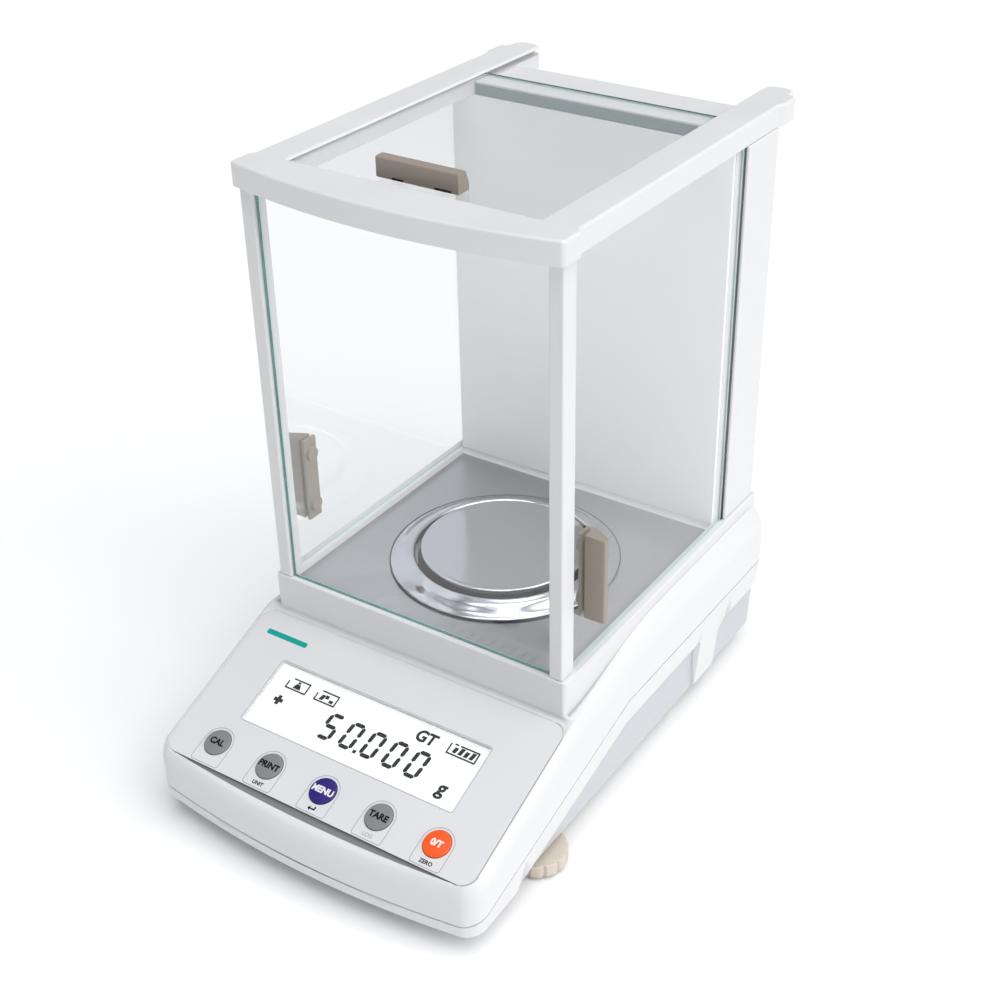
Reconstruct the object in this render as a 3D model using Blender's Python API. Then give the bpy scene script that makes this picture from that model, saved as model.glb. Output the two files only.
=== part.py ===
"""Analytical balance: wedge base with a sloping console, a glass draught shield with three
sliding doors, a round pan on a force cell, and two screw feet. Metres, +Z up, +X right,
+Y back. Inner coordinates count depth from under the shield; one empty shifts the whole
balance forward, so that the origin lies on the bench under the middle of its bounding box."""

import math

import bmesh
import bpy
from mathutils import Matrix, Vector

# Gaps and walls
GAP = 0.0003
CASE_WALL = 0.0028

# Base outline: half width, front nose, rear face, and how far the front bows out
BASE_HALF_WIDTH = 0.105
BASE_FRONT_Y = -0.171
BASE_REAR_Y = 0.158
FRONT_BOW = 0.007
FRONT_CORNER_RADIUS = 0.013
REAR_CORNER_RADIUS = 0.0125

# Heights of the base above the bench
TRAY_BOTTOM_Z = 0.0125
PARTING_REAR_Z = 0.064
PARTING_FRONT_Z = 0.0215
PARTING_BEND_Y = -0.0133
PARTING_SLOPE = 0.2825
TRAY_DRAFT = 5.0
LEDGE_Z = 0.105

# Side recesses of the lower casing: depth from the flank, drop under the parting line, ends
RECESS_DEPTH = 0.0065
RECESS_DROP = 0.016
RECESS_FRONT_Y = -0.122
RECESS_REAR_Y = 0.0745
SHORT_RECESS_Y = 0.099
SHORT_RECESS_TOP_Z = 0.0457

# Console: where the film's rear edge lies, and the slope down to the front
CONSOLE_REAR_Y = -0.0686
CONSOLE_REAR_Z = 0.082
CONSOLE_ANGLE = math.radians(21.6)
FILM_HALF_WIDTH = 0.100
FILM_LENGTH = 0.0985
FILM_THICKNESS = 0.0006
FILM_CORNER_RADIUS = 0.008
WINDOW_HALF_WIDTH = 0.069
WINDOW_NEAR = 0.0268
WINDOW_FAR = 0.0660
KEY_ROW = 0.0842
KEY_PITCH = 0.036
KEY_RADIUS = 0.0075
KEYS = [(f"key_{label}", (place - 2) * KEY_PITCH)
        for place, label in enumerate(("cal", "print", "menu", "tare", "zero"))]

# Plinth under the draught shield
PLINTH_HALF_WIDTH = 0.0955
PLINTH_FRONT_Y = -0.0647
PLINTH_REAR_Y = 0.157
PLINTH_CEILING_Z = 0.0972
SHOULDER_REAR_Z = 0.098
SHOULDER_LEVEL_Y = 0.03
POST_HOLE_RADIUS = 0.016
DOOR_GROOVE_DEPTH = 0.0012
GROOVE_CLEARANCE = 0.0004

# Draught shield
SHIELD_TOP_Z = 0.3336
ROOF_TOP_Z = 0.346
RAIL_GROOVE_DEPTH = 0.0024
GLASS = 0.003
FRONT_GLASS_Y = -0.0615
DOOR_OUTER_X = 0.0912
DOOR_FRONT_Y = -0.0518
DOOR_REAR_Y = 0.1175
PILLAR_INNER_X = 0.0849
PILLAR_OUTER_X = 0.0929
PILLAR_FRONT_Y = -0.0637
PILLAR_REAR_Y = -0.0521
CHAMBER_REAR_Y = 0.1090
COLUMN_REAR_Y = 0.138
PANEL_OUTER_X = 0.0936
PANEL_REAR_Y = 0.154
RAIL_INNER_X = 0.0727
ROOF_HALF_WIDTH = 0.093
ROOF_EAR_X = 0.095
ROOF_FRONT_Y = -0.0665
ROOF_BOW = 0.0116
ROOF_REAR_Y = 0.171
ROOF_TAIL_Y = 0.182
ROOF_TAIL_X = 0.0905
CROSSPIECE_REAR_Y = -0.0496
TOP_GLASS_Z = 0.3415
TOP_GLASS_HALF_WIDTH = 0.078
TOP_GLASS_REAR_Y = 0.123

# Door handles
HANDLE_FRONT_Y = -0.0406
HANDLE_DEPTH = 0.0098
HANDLE_REACH = 0.0122
HANDLE_NOSE = 0.0038
HANDLE_LOW_Z = 0.131
HANDLE_HIGH_Z = 0.181

# Weighing pan and floor
PAN_Y = 0.024
PAN_RADIUS = 0.047
RING_OUTER = 0.0645
RING_INNER = 0.0505
PAN_TOP_Z = 0.1093
PAN_SHEET = 0.0012
FLOOR_Z = 0.101
FLOOR_THICKNESS = 0.0014
FLOOR_HALF_WIDTH = 0.0865
FLOOR_FRONT_Y = -0.0572
FLOOR_HOLE_RADIUS = 0.0495

# Force cell, chassis plate and main board inside the base
CELL_HALF_WIDTH = 0.022
CELL_FRONT_Y = 0.010
CELL_REAR_Y = 0.098
CELL_TOP_Z = 0.0760
PLATE_LOW_Z = 0.0158
PLATE_HIGH_Z = 0.0208
MAGNET_Y = 0.1205
MAGNET_RADIUS = 0.021
BOARD_LOW = (-0.076, -0.045, 0.030)
BOARD_HIGH = (-0.030, 0.100, 0.0316)
SCREW_PLACES = [(-0.090, -0.137), (0.090, -0.137), (-0.088, 0.086), (0.088, 0.086)]

# Level and sockets at the rear
LEVEL_PLACE = (-0.045, 0.1475, 0)
PORT_Z = 0.080
INLET_X = -0.055
PORT_X = 0.045
INLET_RADIUS = 0.0060
PORT_HALF_WIDTH = 0.0155
PORT_HALF_HEIGHT = 0.0062

# Feet
FOOT_X = 0.0915
FOOT_Y = -0.0855
WHEEL_DIP = 0.0011
WHEEL_RADIUS = 0.0165
REAR_FOOT_X = 0.074
REAR_FOOT_Y = 0.125


# ---------------------------------------------------------------- tools

def clear_scene():
    """Remove every object that the file opens with."""
    for item in list(bpy.data.objects):
        bpy.data.objects.remove(item, do_unlink=True)


def material(name, colour, roughness, metallic=0.0, alpha=1.0):
    """A Principled material with one plain colour."""
    made = bpy.data.materials.new(name)
    made.use_nodes = True
    shader = made.node_tree.nodes["Principled BSDF"]
    shader.inputs["Base Color"].default_value = (*colour, 1.0)
    shader.inputs["Roughness"].default_value = roughness
    shader.inputs["Metallic"].default_value = metallic
    shader.inputs["Alpha"].default_value = alpha
    return made


def add_object(name, mesh_data, look=None, origin=(0, 0, 0), smooth=False):
    """Link a mesh object whose coordinates are counted from its own origin."""
    mesh = bpy.data.meshes.new(name)
    bmesh.ops.recalc_face_normals(mesh_data, faces=mesh_data.faces)
    mesh_data.to_mesh(mesh)
    mesh_data.free()
    if smooth:
        mesh.shade_smooth()
        mesh.set_sharp_from_angle(angle=math.radians(35))
    made = bpy.data.objects.new(name, mesh)
    bpy.context.scene.collection.objects.link(made)
    made.location = origin
    if look:
        mesh.materials.append(look)
    return made


def box(name, low, high, look=None, origin=(0, 0, 0)):
    """A block between two corners, given in the frame of its parent."""
    shape = bmesh.new()
    size = Vector(high) - Vector(low)
    middle = (Vector(high) + Vector(low)) / 2 - Vector(origin)
    bmesh.ops.create_cube(shape, size=1.0)
    bmesh.ops.scale(shape, vec=size, verts=shape.verts)
    bmesh.ops.translate(shape, vec=middle, verts=shape.verts)
    return add_object(name, shape, look, origin)


def prism(name, outline, axis, low, high, look=None, origin=(0, 0, 0)):
    """Extrude an outline along X, Y or Z; its points give the other two axes in order."""
    place = {
        "X": lambda a, b, c: (c, a, b),
        "Y": lambda a, b, c: (a, c, b),
        "Z": lambda a, b, c: (a, b, c),
    }[axis]
    shape = bmesh.new()
    start = Vector(origin)
    ends = [[shape.verts.new(Vector(place(a, b, c)) - start) for a, b in outline] for c in (low, high)]
    shape.faces.new(ends[0])
    shape.faces.new(ends[1])
    count = len(outline)
    for i in range(count):
        j = (i + 1) % count
        shape.faces.new((ends[0][i], ends[0][j], ends[1][j], ends[1][i]))
    return add_object(name, shape, look, origin)


def turned(name, profile, look=None, origin=(0, 0, 0), steps=32, tilt=None):
    """Turn a closed (radius, height) profile about the local Z axis at the origin."""
    shape = bmesh.new()
    rings = []
    for radius, height in profile:
        if radius == 0:
            rings.append([shape.verts.new((0, 0, height))] * steps)
            continue
        angles = [2 * math.pi * k / steps for k in range(steps)]
        rings.append([shape.verts.new((radius * math.cos(a), radius * math.sin(a), height)) for a in angles])
    for i in range(len(rings)):
        first, second = rings[i], rings[(i + 1) % len(rings)]
        for k in range(steps):
            m = (k + 1) % steps
            corners = list(dict.fromkeys((first[k], first[m], second[m], second[k])))
            if len(corners) > 2:
                shape.faces.new(corners)
    made = add_object(name, shape, look, origin, smooth=True)
    if tilt:
        made.rotation_euler = tilt
    return made


def cylinder(name, radius, low, high, look=None, origin=(0, 0, 0), steps=24, tilt=None):
    """A plain round bar from one height to another over its origin."""
    return turned(name, [(0, low), (radius, low), (radius, high), (0, high)], look, origin, steps, tilt)


def combine(target, other, operation):
    """Cut, join or intersect the target with a helper solid that is not a part itself."""
    step = target.modifiers.new(other.name, "BOOLEAN")
    step.operation = operation
    step.object = other
    step.solver = "EXACT"
    other.hide_render = True
    other.display_type = "WIRE"


def cut(target, *cutters):
    """Take each cutter out of the target."""
    for cutter in cutters:
        combine(target, cutter, "DIFFERENCE")


def fuse(target, *additions):
    """Join each helper solid to the target as one body."""
    for addition in additions:
        combine(target, addition, "UNION")


def arc(centre, radius, start, stop, steps):
    """Points along a circular arc, angles in degrees."""
    angles = [math.radians(start + (stop - start) * k / steps) for k in range(steps + 1)]
    return [(centre[0] + radius * math.cos(a), centre[1] + radius * math.sin(a)) for a in angles]


def rounded_rectangle(low, high, radius, steps=4):
    """Outline of a rectangle with round corners."""
    (x0, y0), (x1, y1) = low, high
    points = arc((x1 - radius, y0 + radius), radius, -90, 0, steps)
    points += arc((x1 - radius, y1 - radius), radius, 0, 90, steps)
    points += arc((x0 + radius, y1 - radius), radius, 90, 180, steps)
    points += arc((x0 + radius, y0 + radius), radius, 180, 270, steps)
    return points


def smooth_step(value, low, high):
    """0 below low, 1 above high, with an easy curve between."""
    part = min(max((value - low) / (high - low), 0.0), 1.0)
    return part * part * (3 - 2 * part)


# ---------------------------------------------------------------- base geometry

def console_height(y):
    """Height of the sloping console plane."""
    return CONSOLE_REAR_Z + (y - CONSOLE_REAR_Y) * math.tan(CONSOLE_ANGLE)


def parting_height(y):
    """Height of the joint between the two casings."""
    drop = PARTING_SLOPE * max(0.0, PARTING_BEND_Y - y)
    return max(PARTING_REAR_Z - drop, PARTING_FRONT_Z)


def shoulder_height(y):
    """Height of the flat that the rounded shoulder ends in."""
    if y <= PLINTH_FRONT_Y:
        return console_height(y)
    rise = SHOULDER_REAR_Z - console_height(PLINTH_FRONT_Y)
    return console_height(PLINTH_FRONT_Y) + rise * smooth_step(y, PLINTH_FRONT_Y, SHOULDER_LEVEL_Y)


def shoulder_size(y):
    """Width and drop of the rounded shoulder: wider beside the plinth than beside the film."""
    part = smooth_step(y, CONSOLE_REAR_Y - 0.01, 0.0)
    return 0.0045 + 0.0045 * part, 0.009 + 0.004 * part


def half_outline():
    """Right half of the base outline, front middle to rear middle, with outward normals."""
    corner_x = BASE_HALF_WIDTH - FRONT_CORNER_RADIUS
    front = [(corner_x * k / 4, BASE_FRONT_Y + FRONT_BOW * (k / 4) ** 2) for k in range(4)]
    centre = (corner_x, BASE_FRONT_Y + FRONT_BOW + FRONT_CORNER_RADIUS)
    points = front + arc(centre, FRONT_CORNER_RADIUS, -82, 0, 5)
    stations = (-0.12, -0.09, CONSOLE_REAR_Y, PLINTH_FRONT_Y, -0.052, -0.038, -0.024,
                PARTING_BEND_Y, 0.002, 0.016, 0.03, 0.09)
    points += [(BASE_HALF_WIDTH, y) for y in stations]
    corner = (BASE_HALF_WIDTH - REAR_CORNER_RADIUS, BASE_REAR_Y - REAR_CORNER_RADIUS)
    points += arc(corner, REAR_CORNER_RADIUS, 0, 90, 4)
    mirrored = [(-points[1][0], points[1][1]), (-points[-1][0], points[-1][1])]
    normals = []
    for i in range(len(points)):
        before = points[i - 1] if i else mirrored[0]
        after = points[i + 1] if i + 1 < len(points) else mirrored[1]
        along = Vector(after) - Vector(before)
        normals.append(Vector((along.y, -along.x)).normalized())
    return list(zip(points, normals))


def ring_solid(name, rings, look=None):
    """Close a stack of outline rings, each a pair of rules for its inset and its height at y."""
    outline = half_outline()
    shape = bmesh.new()
    stack = []
    for inset_at, height_at in rings:
        right, left = [], []
        for (x, y), normal in outline:
            inset = inset_at(y)
            px, py = x - normal.x * inset, y - normal.y * inset
            height = height_at(py)
            centred = x == 0
            right.append(shape.verts.new((0 if centred else px, py, height)))
            left.append(right[-1] if centred else shape.verts.new((-px, py, height)))
        stack.append((right, left))
    steps = range(len(outline) - 1)
    for below, above in zip(stack, stack[1:]):
        for side in (0, 1):
            for i in steps:
                shape.faces.new((below[side][i], below[side][i + 1], above[side][i + 1], above[side][i]))
        shape.faces.new((below[0][-1], below[1][-1], above[1][-1], above[0][-1]))
    for right, left in (stack[0], stack[-1]):
        for i in steps:
            shape.faces.new(list(dict.fromkeys((right[i], right[i + 1], left[i + 1], left[i]))))
    return add_object(name, shape, look)


def casing_rings(inset, lower, skirt):
    """Rings of the upper casing's outside, or of its hollow when inset and lowered."""
    def quarter(angle):
        width_part, drop_part = 1 - math.cos(angle), 1 - math.sin(angle)
        return (lambda y: inset + shoulder_size(y)[0] * width_part,
                lambda y: shoulder_height(y) - shoulder_size(y)[1] * drop_part - lower)
    bottom = [(lambda y: inset, lambda y: parting_height(y) - skirt)]
    return bottom + [quarter(math.radians(a)) for a in (0, 30, 60, 90)]


def tray_rings(inset, floor, top):
    """Rings of the lower tray: drafted walls from the floor up to the parting line."""
    slant = math.tan(math.radians(TRAY_DRAFT))
    return [
        (lambda y: inset + (parting_height(y) - floor) * slant, lambda y: floor),
        (lambda y: inset, lambda y: parting_height(y) + top),
    ]


def console_place(made):
    """Stand an object built in console coordinates (x, up the slope, off the film) on the slope."""
    turn = Matrix.Rotation(CONSOLE_ANGLE, 4, "X")
    place = Matrix.Translation((0, CONSOLE_REAR_Y, CONSOLE_REAR_Z)) @ turn
    made.matrix_world = place @ made.matrix_basis
    return made


# ---------------------------------------------------------------- base

def recess_outline(grow):
    """Side view of the long finger recess: it follows the parting line 16 mm below it."""
    drop = RECESS_DROP - grow
    front, rear = RECESS_FRONT_Y - grow, RECESS_REAR_Y + grow
    top = [(y, parting_height(y) - drop) for y in (rear, PARTING_BEND_Y, front)]
    return [(front, 0.0), (rear, 0.0)] + top


def rear_recess_outline(grow):
    """Side view of the short recess behind the leg."""
    front, top = SHORT_RECESS_Y - grow, SHORT_RECESS_TOP_Z + grow
    return [(front, 0.0), (0.2, 0.0), (0.2, top), (front + 0.005, top), (front, top - 0.006)]


def recess_cutters(label, grow):
    """The four side recesses, or the same grown by a wall for shaping the hollow behind them."""
    depth = BASE_HALF_WIDTH - RECESS_DEPTH - grow
    made = []
    for side, low, high in (("right", depth, 0.12), ("left", -0.12, -depth)):
        made.append(prism(f"{label}_long_{side}", recess_outline(grow), "X", low, high))
        made.append(prism(f"{label}_short_{side}", rear_recess_outline(grow), "X", low, high))
    return made


def make_tray(white):
    """Lower casing: an open tray with side recesses, screw bosses and foot bosses."""
    tray = ring_solid("base_tray", tray_rings(0.0, TRAY_BOTTOM_Z, -GAP), white)
    hollow = ring_solid("tray_hollow", tray_rings(CASE_WALL, TRAY_BOTTOM_Z + CASE_WALL, 0.02))
    cut(hollow, *recess_cutters("grown_recess", CASE_WALL))
    cut(tray, hollow, *recess_cutters("recess", 0.0))
    for side in (-1, 1):
        boss = cylinder(f"foot_boss_{side}", 0.0065, TRAY_BOTTOM_Z + 0.001, 0.030,
                        origin=(side * (FOOT_X - 0.0005), FOOT_Y, 0))
        bore = cylinder(f"foot_bore_{side}", 0.0034, 0.0, 0.027, origin=(side * FOOT_X, FOOT_Y, 0), steps=16)
        fuse(tray, boss)
        cut(tray, bore)
    for place in SCREW_PLACES:
        cut(tray, cylinder(f"tray_screw_hole_{place}", 0.0024, 0.0, 0.02, origin=(*place, 0), steps=12))
    return tray


def groove_sides(side):
    """Inner and outer side of the groove that a side pane runs in, lowest first."""
    outer, inner = DOOR_OUTER_X + GROOVE_CLEARANCE, DOOR_OUTER_X - GLASS - GROOVE_CLEARANCE
    return sorted((side * outer, side * inner))


def make_top_casing(white):
    """Upper casing: hollow console and plinth, open below, cut for the film, keys and pan."""
    casing = ring_solid("top_casing", casing_rings(0.0, 0.0, 0.0), white)
    plinth = box("plinth_block", (-PLINTH_HALF_WIDTH, PLINTH_FRONT_Y, 0.075),
                 (PLINTH_HALF_WIDTH, PLINTH_REAR_Y, LEDGE_Z))
    hollow = ring_solid("casing_hollow", casing_rings(CASE_WALL, CASE_WALL, 0.02))
    inner = PLINTH_HALF_WIDTH - CASE_WALL
    plinth_hollow = box("plinth_hollow", (-inner, PLINTH_FRONT_Y + CASE_WALL, 0.07),
                        (inner, PLINTH_REAR_Y - CASE_WALL, PLINTH_CEILING_Z))
    fuse(casing, plinth)
    cut(casing, hollow, plinth_hollow)
    pocket_rear = CHAMBER_REAR_Y - GAP
    pocket = box("floor_pocket",
                 (-FLOOR_HALF_WIDTH - GAP, FLOOR_FRONT_Y - GAP, FLOOR_Z - FLOOR_THICKNESS - GAP),
                 (FLOOR_HALF_WIDTH + GAP, pocket_rear, 0.12))
    post_hole = cylinder("post_hole", POST_HOLE_RADIUS, 0.08, 0.12, origin=(0, PAN_Y, 0))
    cut(casing, pocket, post_hole)
    for side in (-1, 1):
        low, high = groove_sides(side)
        cut(casing, box(f"door_groove_{side}", (low, DOOR_FRONT_Y - GAP, LEDGE_Z - DOOR_GROOVE_DEPTH),
                        (high, 0.2, 0.12)))
    add_casing_bosses(casing)
    film_pocket = prism("film_pocket", film_outline(GAP), "Z", -FILM_THICKNESS - GAP, 0.02)
    window_hole = box("window_hole", (-WINDOW_HALF_WIDTH - GAP, -WINDOW_FAR - GAP, -0.02),
                      (WINDOW_HALF_WIDTH + GAP, -WINDOW_NEAR + GAP, 0.02))
    cut(casing, console_place(film_pocket), console_place(window_hole))
    for name, x in KEYS:
        hole = cylinder(f"{name}_hole", KEY_RADIUS + GAP, -0.02, 0.02, origin=(x, -KEY_ROW, 0))
        cut(casing, console_place(hole))
    inlet_hole = cylinder("inlet_hole", INLET_RADIUS + GAP, -0.02, 0.02,
                          origin=(INLET_X, BASE_REAR_Y, PORT_Z), tilt=(math.pi / 2, 0, 0))
    port_reach, port_rise = PORT_HALF_WIDTH + GAP, PORT_HALF_HEIGHT + GAP
    port_hole = box("port_hole", (PORT_X - port_reach, BASE_REAR_Y - 0.016, PORT_Z - port_rise),
                    (PORT_X + port_reach, BASE_REAR_Y + 0.014, PORT_Z + port_rise))
    cut(casing, inlet_hole, port_hole)
    return casing


def add_casing_bosses(casing):
    """Four posts under the casing that the long base screws bite into."""
    for x, y in SCREW_PLACES:
        low = parting_height(y) + 0.002
        high = shoulder_height(y) - 0.0015
        boss = cylinder(f"boss_{x}_{y}", 0.005, low, high, origin=(x, y, 0), steps=16)
        bore = cylinder(f"boss_bore_{x}_{y}", 0.0024, low - 0.01, low + 0.012, origin=(x, y, 0), steps=12)
        fuse(casing, boss)
        cut(casing, bore)


def film_outline(grow):
    """Outline of the console film in console coordinates."""
    return rounded_rectangle((-FILM_HALF_WIDTH - grow, -FILM_LENGTH - grow),
                             (FILM_HALF_WIDTH + grow, grow), FILM_CORNER_RADIUS)


def make_console(looks):
    """Film, display window, display glass, circuit board and the five keys."""
    film = prism("console_film", film_outline(0.0), "Z", -FILM_THICKNESS, 0.0, looks["film"])
    window_hole = box("film_window_hole", (-WINDOW_HALF_WIDTH - GAP, -WINDOW_FAR - GAP, -0.01),
                      (WINDOW_HALF_WIDTH + GAP, -WINDOW_NEAR + GAP, 0.01))
    cut(film, window_hole)
    console_place(window_hole)
    window = box("display_window", (-WINDOW_HALF_WIDTH, -WINDOW_FAR, -0.0024),
                 (WINDOW_HALF_WIDTH, -WINDOW_NEAR, 0.0), looks["clear"])
    panel = box("lcd_panel", (-0.0715, -0.0690, -0.0072), (0.0715, -0.0240, -0.0034), looks["lcd"])
    board = box("display_board", (-0.079, -0.094, -0.0112), (0.079, -0.014, -0.0096), looks["board"])
    profile = [(0, -0.0086), (0.003, -0.0086), (0.003, -0.0044), (0.0092, -0.0044), (0.0092, -0.0036),
               (KEY_RADIUS, -0.0036), (KEY_RADIUS, 0.0003), (KEY_RADIUS - 0.0007, 0.0008), (0, 0.0011)]
    for name, x in KEYS:
        place = (x, -KEY_ROW, 0)
        hole = cylinder(f"film_{name}_hole", KEY_RADIUS + GAP, -0.01, 0.01, origin=place)
        cut(film, hole)
        console_place(hole)
        console_place(turned(name, profile, looks[name], origin=place, steps=32))
    for made in (film, window, panel, board):
        console_place(made)


# ---------------------------------------------------------------- inside the base

def make_chassis(metal):
    """Cast plate that carries the force cell and the circuit board's four posts."""
    plate = prism("chassis_plate", rounded_rectangle((-0.080, -0.118), (0.080, 0.142), 0.01), "Z",
                  PLATE_LOW_Z, PLATE_HIGH_Z, metal)
    for x in (BOARD_LOW[0] + 0.005, BOARD_HIGH[0] - 0.005):
        for y in (BOARD_LOW[1] + 0.005, BOARD_HIGH[1] - 0.005):
            fuse(plate, cylinder(f"board_post_{x}_{y}", 0.003, 0.018, BOARD_LOW[2] - GAP,
                                 origin=(x, y, 0), steps=12))
    return plate


def make_main_board(green):
    """Circuit board with its screening can, connector and capacitors as one solid."""
    board = box("main_board", BOARD_LOW, BOARD_HIGH, green)
    top = BOARD_HIGH[2] - 0.0002
    fuse(board, box("screening_can", (-0.068, 0.010, top), (-0.040, 0.045, top + 0.006)),
         box("board_connector", (-0.070, -0.040, top), (-0.045, -0.033, top + 0.009)),
         cylinder("capacitor_low", 0.005, top, top + 0.013, origin=(-0.060, 0.065, 0), steps=16),
         cylinder("capacitor_high", 0.004, top, top + 0.011, origin=(-0.044, 0.082, 0), steps=16))
    return board


def make_force_cell(looks):
    """Force cell block with its two guide slots, the magnet pot behind it, and the pan carrier."""
    seat = PLATE_HIGH_Z + GAP
    cell = box("force_cell", (-CELL_HALF_WIDTH, CELL_FRONT_Y, seat),
               (CELL_HALF_WIDTH, CELL_REAR_Y, CELL_TOP_Z), looks["cast"])
    slot_front, slot_rear = CELL_FRONT_Y + 0.010, CELL_REAR_Y - 0.010
    for low in (0.032, 0.062):
        cut(cell, box(f"cell_slot_{low}", (-0.03, slot_front, low), (0.03, slot_rear, low + 0.003)))
    turned("magnet_pot", [(0, seat), (MAGNET_RADIUS, seat), (MAGNET_RADIUS, 0.060),
                          (MAGNET_RADIUS - 0.004, 0.062), (0, 0.062)],
           looks["steel"], origin=(0, MAGNET_Y, 0))
    turned("pan_carrier", [(0, 0.0775), (0.0055, 0.0775), (0.0055, 0.0985), (0.010, 0.0985),
                           (0.010, 0.1005), (0.0045, 0.1015), (0.0035, 0.1060), (0, 0.1060)],
           looks["steel"], origin=(0, PAN_Y, 0))


def make_pan(looks):
    """Weighing pan with its hub, the draught ring round it, and the steel floor plate."""
    under, rim = PAN_TOP_Z - PAN_SHEET, PAN_RADIUS - PAN_SHEET
    socket_top, hub_low, rim_low = PAN_TOP_Z - 0.0030, PAN_TOP_Z - 0.0075, PAN_TOP_Z - 0.0032
    turned("weighing_pan", [(0, socket_top), (0.0038, socket_top), (0.0048, hub_low), (0.012, hub_low),
                            (0.012, under), (rim, under), (rim, rim_low), (PAN_RADIUS, rim_low),
                            (PAN_RADIUS, PAN_TOP_Z - 0.0005), (PAN_RADIUS - 0.0005, PAN_TOP_Z),
                            (0, PAN_TOP_Z)],
           looks["pan"], origin=(0, PAN_Y, 0), steps=64)
    low = FLOOR_Z + GAP
    turned("draught_ring", [(RING_OUTER, low), (RING_OUTER, low + 0.0009), (RING_INNER + 0.003, low + 0.0056),
                            (RING_INNER + 0.0012, low + 0.0058), (RING_INNER, low + 0.0046),
                            (RING_INNER, low), (RING_INNER + 0.001, low), (RING_INNER + 0.001, low + 0.0044),
                            (RING_INNER + 0.0025, low + 0.0046), (RING_OUTER - 0.003, low)],
           looks["ring"], origin=(0, PAN_Y, 0), steps=64)
    plate = box("floor_plate", (-FLOOR_HALF_WIDTH, FLOOR_FRONT_Y, FLOOR_Z - FLOOR_THICKNESS),
                (FLOOR_HALF_WIDTH, CHAMBER_REAR_Y - 2 * GAP, FLOOR_Z), looks["floor"])
    cut(plate, cylinder("plate_hole", FLOOR_HOLE_RADIUS, 0.09, 0.11, origin=(0, PAN_Y, 0), steps=48))


# ---------------------------------------------------------------- draught shield

def make_pillars_and_front(looks):
    """Two front pillars with the fixed front pane between them."""
    for side, low, high in (("left", -PILLAR_OUTER_X, -PILLAR_INNER_X),
                            ("right", PILLAR_INNER_X, PILLAR_OUTER_X)):
        box(f"front_pillar_{side}", (low, PILLAR_FRONT_Y, LEDGE_Z + GAP),
            (high, PILLAR_REAR_Y, SHIELD_TOP_Z - GAP), looks["white"])
    inner = PILLAR_INNER_X - GAP
    box("front_glass", (-inner, FRONT_GLASS_Y, LEDGE_Z + GAP),
        (inner, FRONT_GLASS_Y + GLASS, SHIELD_TOP_Z - GAP), looks["glass"])


def make_side_door(side, name, looks):
    """Sliding glass door with its outer handle and the clamp plate inside the glass."""
    outer, inner = side * DOOR_OUTER_X, side * (DOOR_OUTER_X - GLASS)
    start = (outer, DOOR_FRONT_Y, LEDGE_Z)
    low, high = sorted((outer, inner))
    box(f"door_{name}", (low, DOOR_FRONT_Y, LEDGE_Z - 0.0008), (high, DOOR_REAR_Y, SHIELD_TOP_Z + 0.0018),
        looks["glass"], start)
    face = outer + side * GAP
    tip = outer + side * HANDLE_REACH
    rear = HANDLE_FRONT_Y + HANDLE_DEPTH
    outline = [(face, HANDLE_FRONT_Y), (tip, HANDLE_FRONT_Y), (tip, HANDLE_FRONT_Y + HANDLE_NOSE),
               (face, rear)]
    prism(f"door_{name}_handle", outline, "Z", HANDLE_LOW_Z, HANDLE_HIGH_Z, looks["handle"], start)
    plate_low, plate_high = sorted((inner - side * GAP, inner - side * 0.0021))
    plate = box(f"door_{name}_clamp", (plate_low, HANDLE_FRONT_Y, HANDLE_LOW_Z),
                (plate_high, rear, HANDLE_HIGH_Z), looks["handle"], start)
    for height in (HANDLE_LOW_Z + 0.009, HANDLE_HIGH_Z - 0.009):
        boss = cylinder(f"clamp_boss_{name}_{height}", 0.0038, 0.0, 0.0024,
                        origin=(inner - side * 0.0019, HANDLE_FRONT_Y + HANDLE_DEPTH / 2, height),
                        steps=16, tilt=(0, -side * math.pi / 2, 0))
        fuse(plate, boss)


def make_top_door(looks):
    """Top glass, sliding back over the rear cover, with its handle."""
    start = (0, CROSSPIECE_REAR_Y, TOP_GLASS_Z)
    box("door_top", (-TOP_GLASS_HALF_WIDTH, -0.0520, TOP_GLASS_Z),
        (TOP_GLASS_HALF_WIDTH, TOP_GLASS_REAR_Y, TOP_GLASS_Z + GLASS), looks["glass"], start)
    base = TOP_GLASS_Z + GLASS + GAP
    front = -0.0434
    outline = [(front, base), (front + 0.0088, base), (front + 0.0088, base + 0.0035),
               (front + 0.0062, base + 0.0103), (front, base + 0.0103)]
    prism("door_top_handle", outline, "X", -0.0237, 0.0237, looks["handle"], start)


def roof_outline():
    """Plan of the roof frame: bowed crosspiece, two rails, and ears at both ends."""
    ear_front, ear_rear = CROSSPIECE_REAR_Y, 0.152
    tail_middle = (RAIL_INNER_X + ROOF_TAIL_X) / 2
    right = [(ROOF_EAR_X * k / 6, ROOF_FRONT_Y - ROOF_BOW * (1 - (k / 6) ** 2)) for k in range(7)]
    right += [(ROOF_EAR_X, ear_front - 0.003), (ROOF_HALF_WIDTH, ear_front), (ROOF_HALF_WIDTH, ear_rear),
              (ROOF_EAR_X, ear_rear + 0.004), (ROOF_EAR_X, ROOF_REAR_Y - 0.003),
              (ROOF_EAR_X - 0.003, ROOF_REAR_Y), (ROOF_TAIL_X, ROOF_REAR_Y),
               (ROOF_TAIL_X - 0.002, ROOF_TAIL_Y - 0.004),
              (tail_middle, ROOF_TAIL_Y), (RAIL_INNER_X + 0.002, ROOF_TAIL_Y - 0.003),
              (RAIL_INNER_X, ROOF_TAIL_Y - 0.007), (RAIL_INNER_X, CROSSPIECE_REAR_Y)]
    left = [(-x, y) for x, y in reversed(right[1:])]
    return right + left


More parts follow.
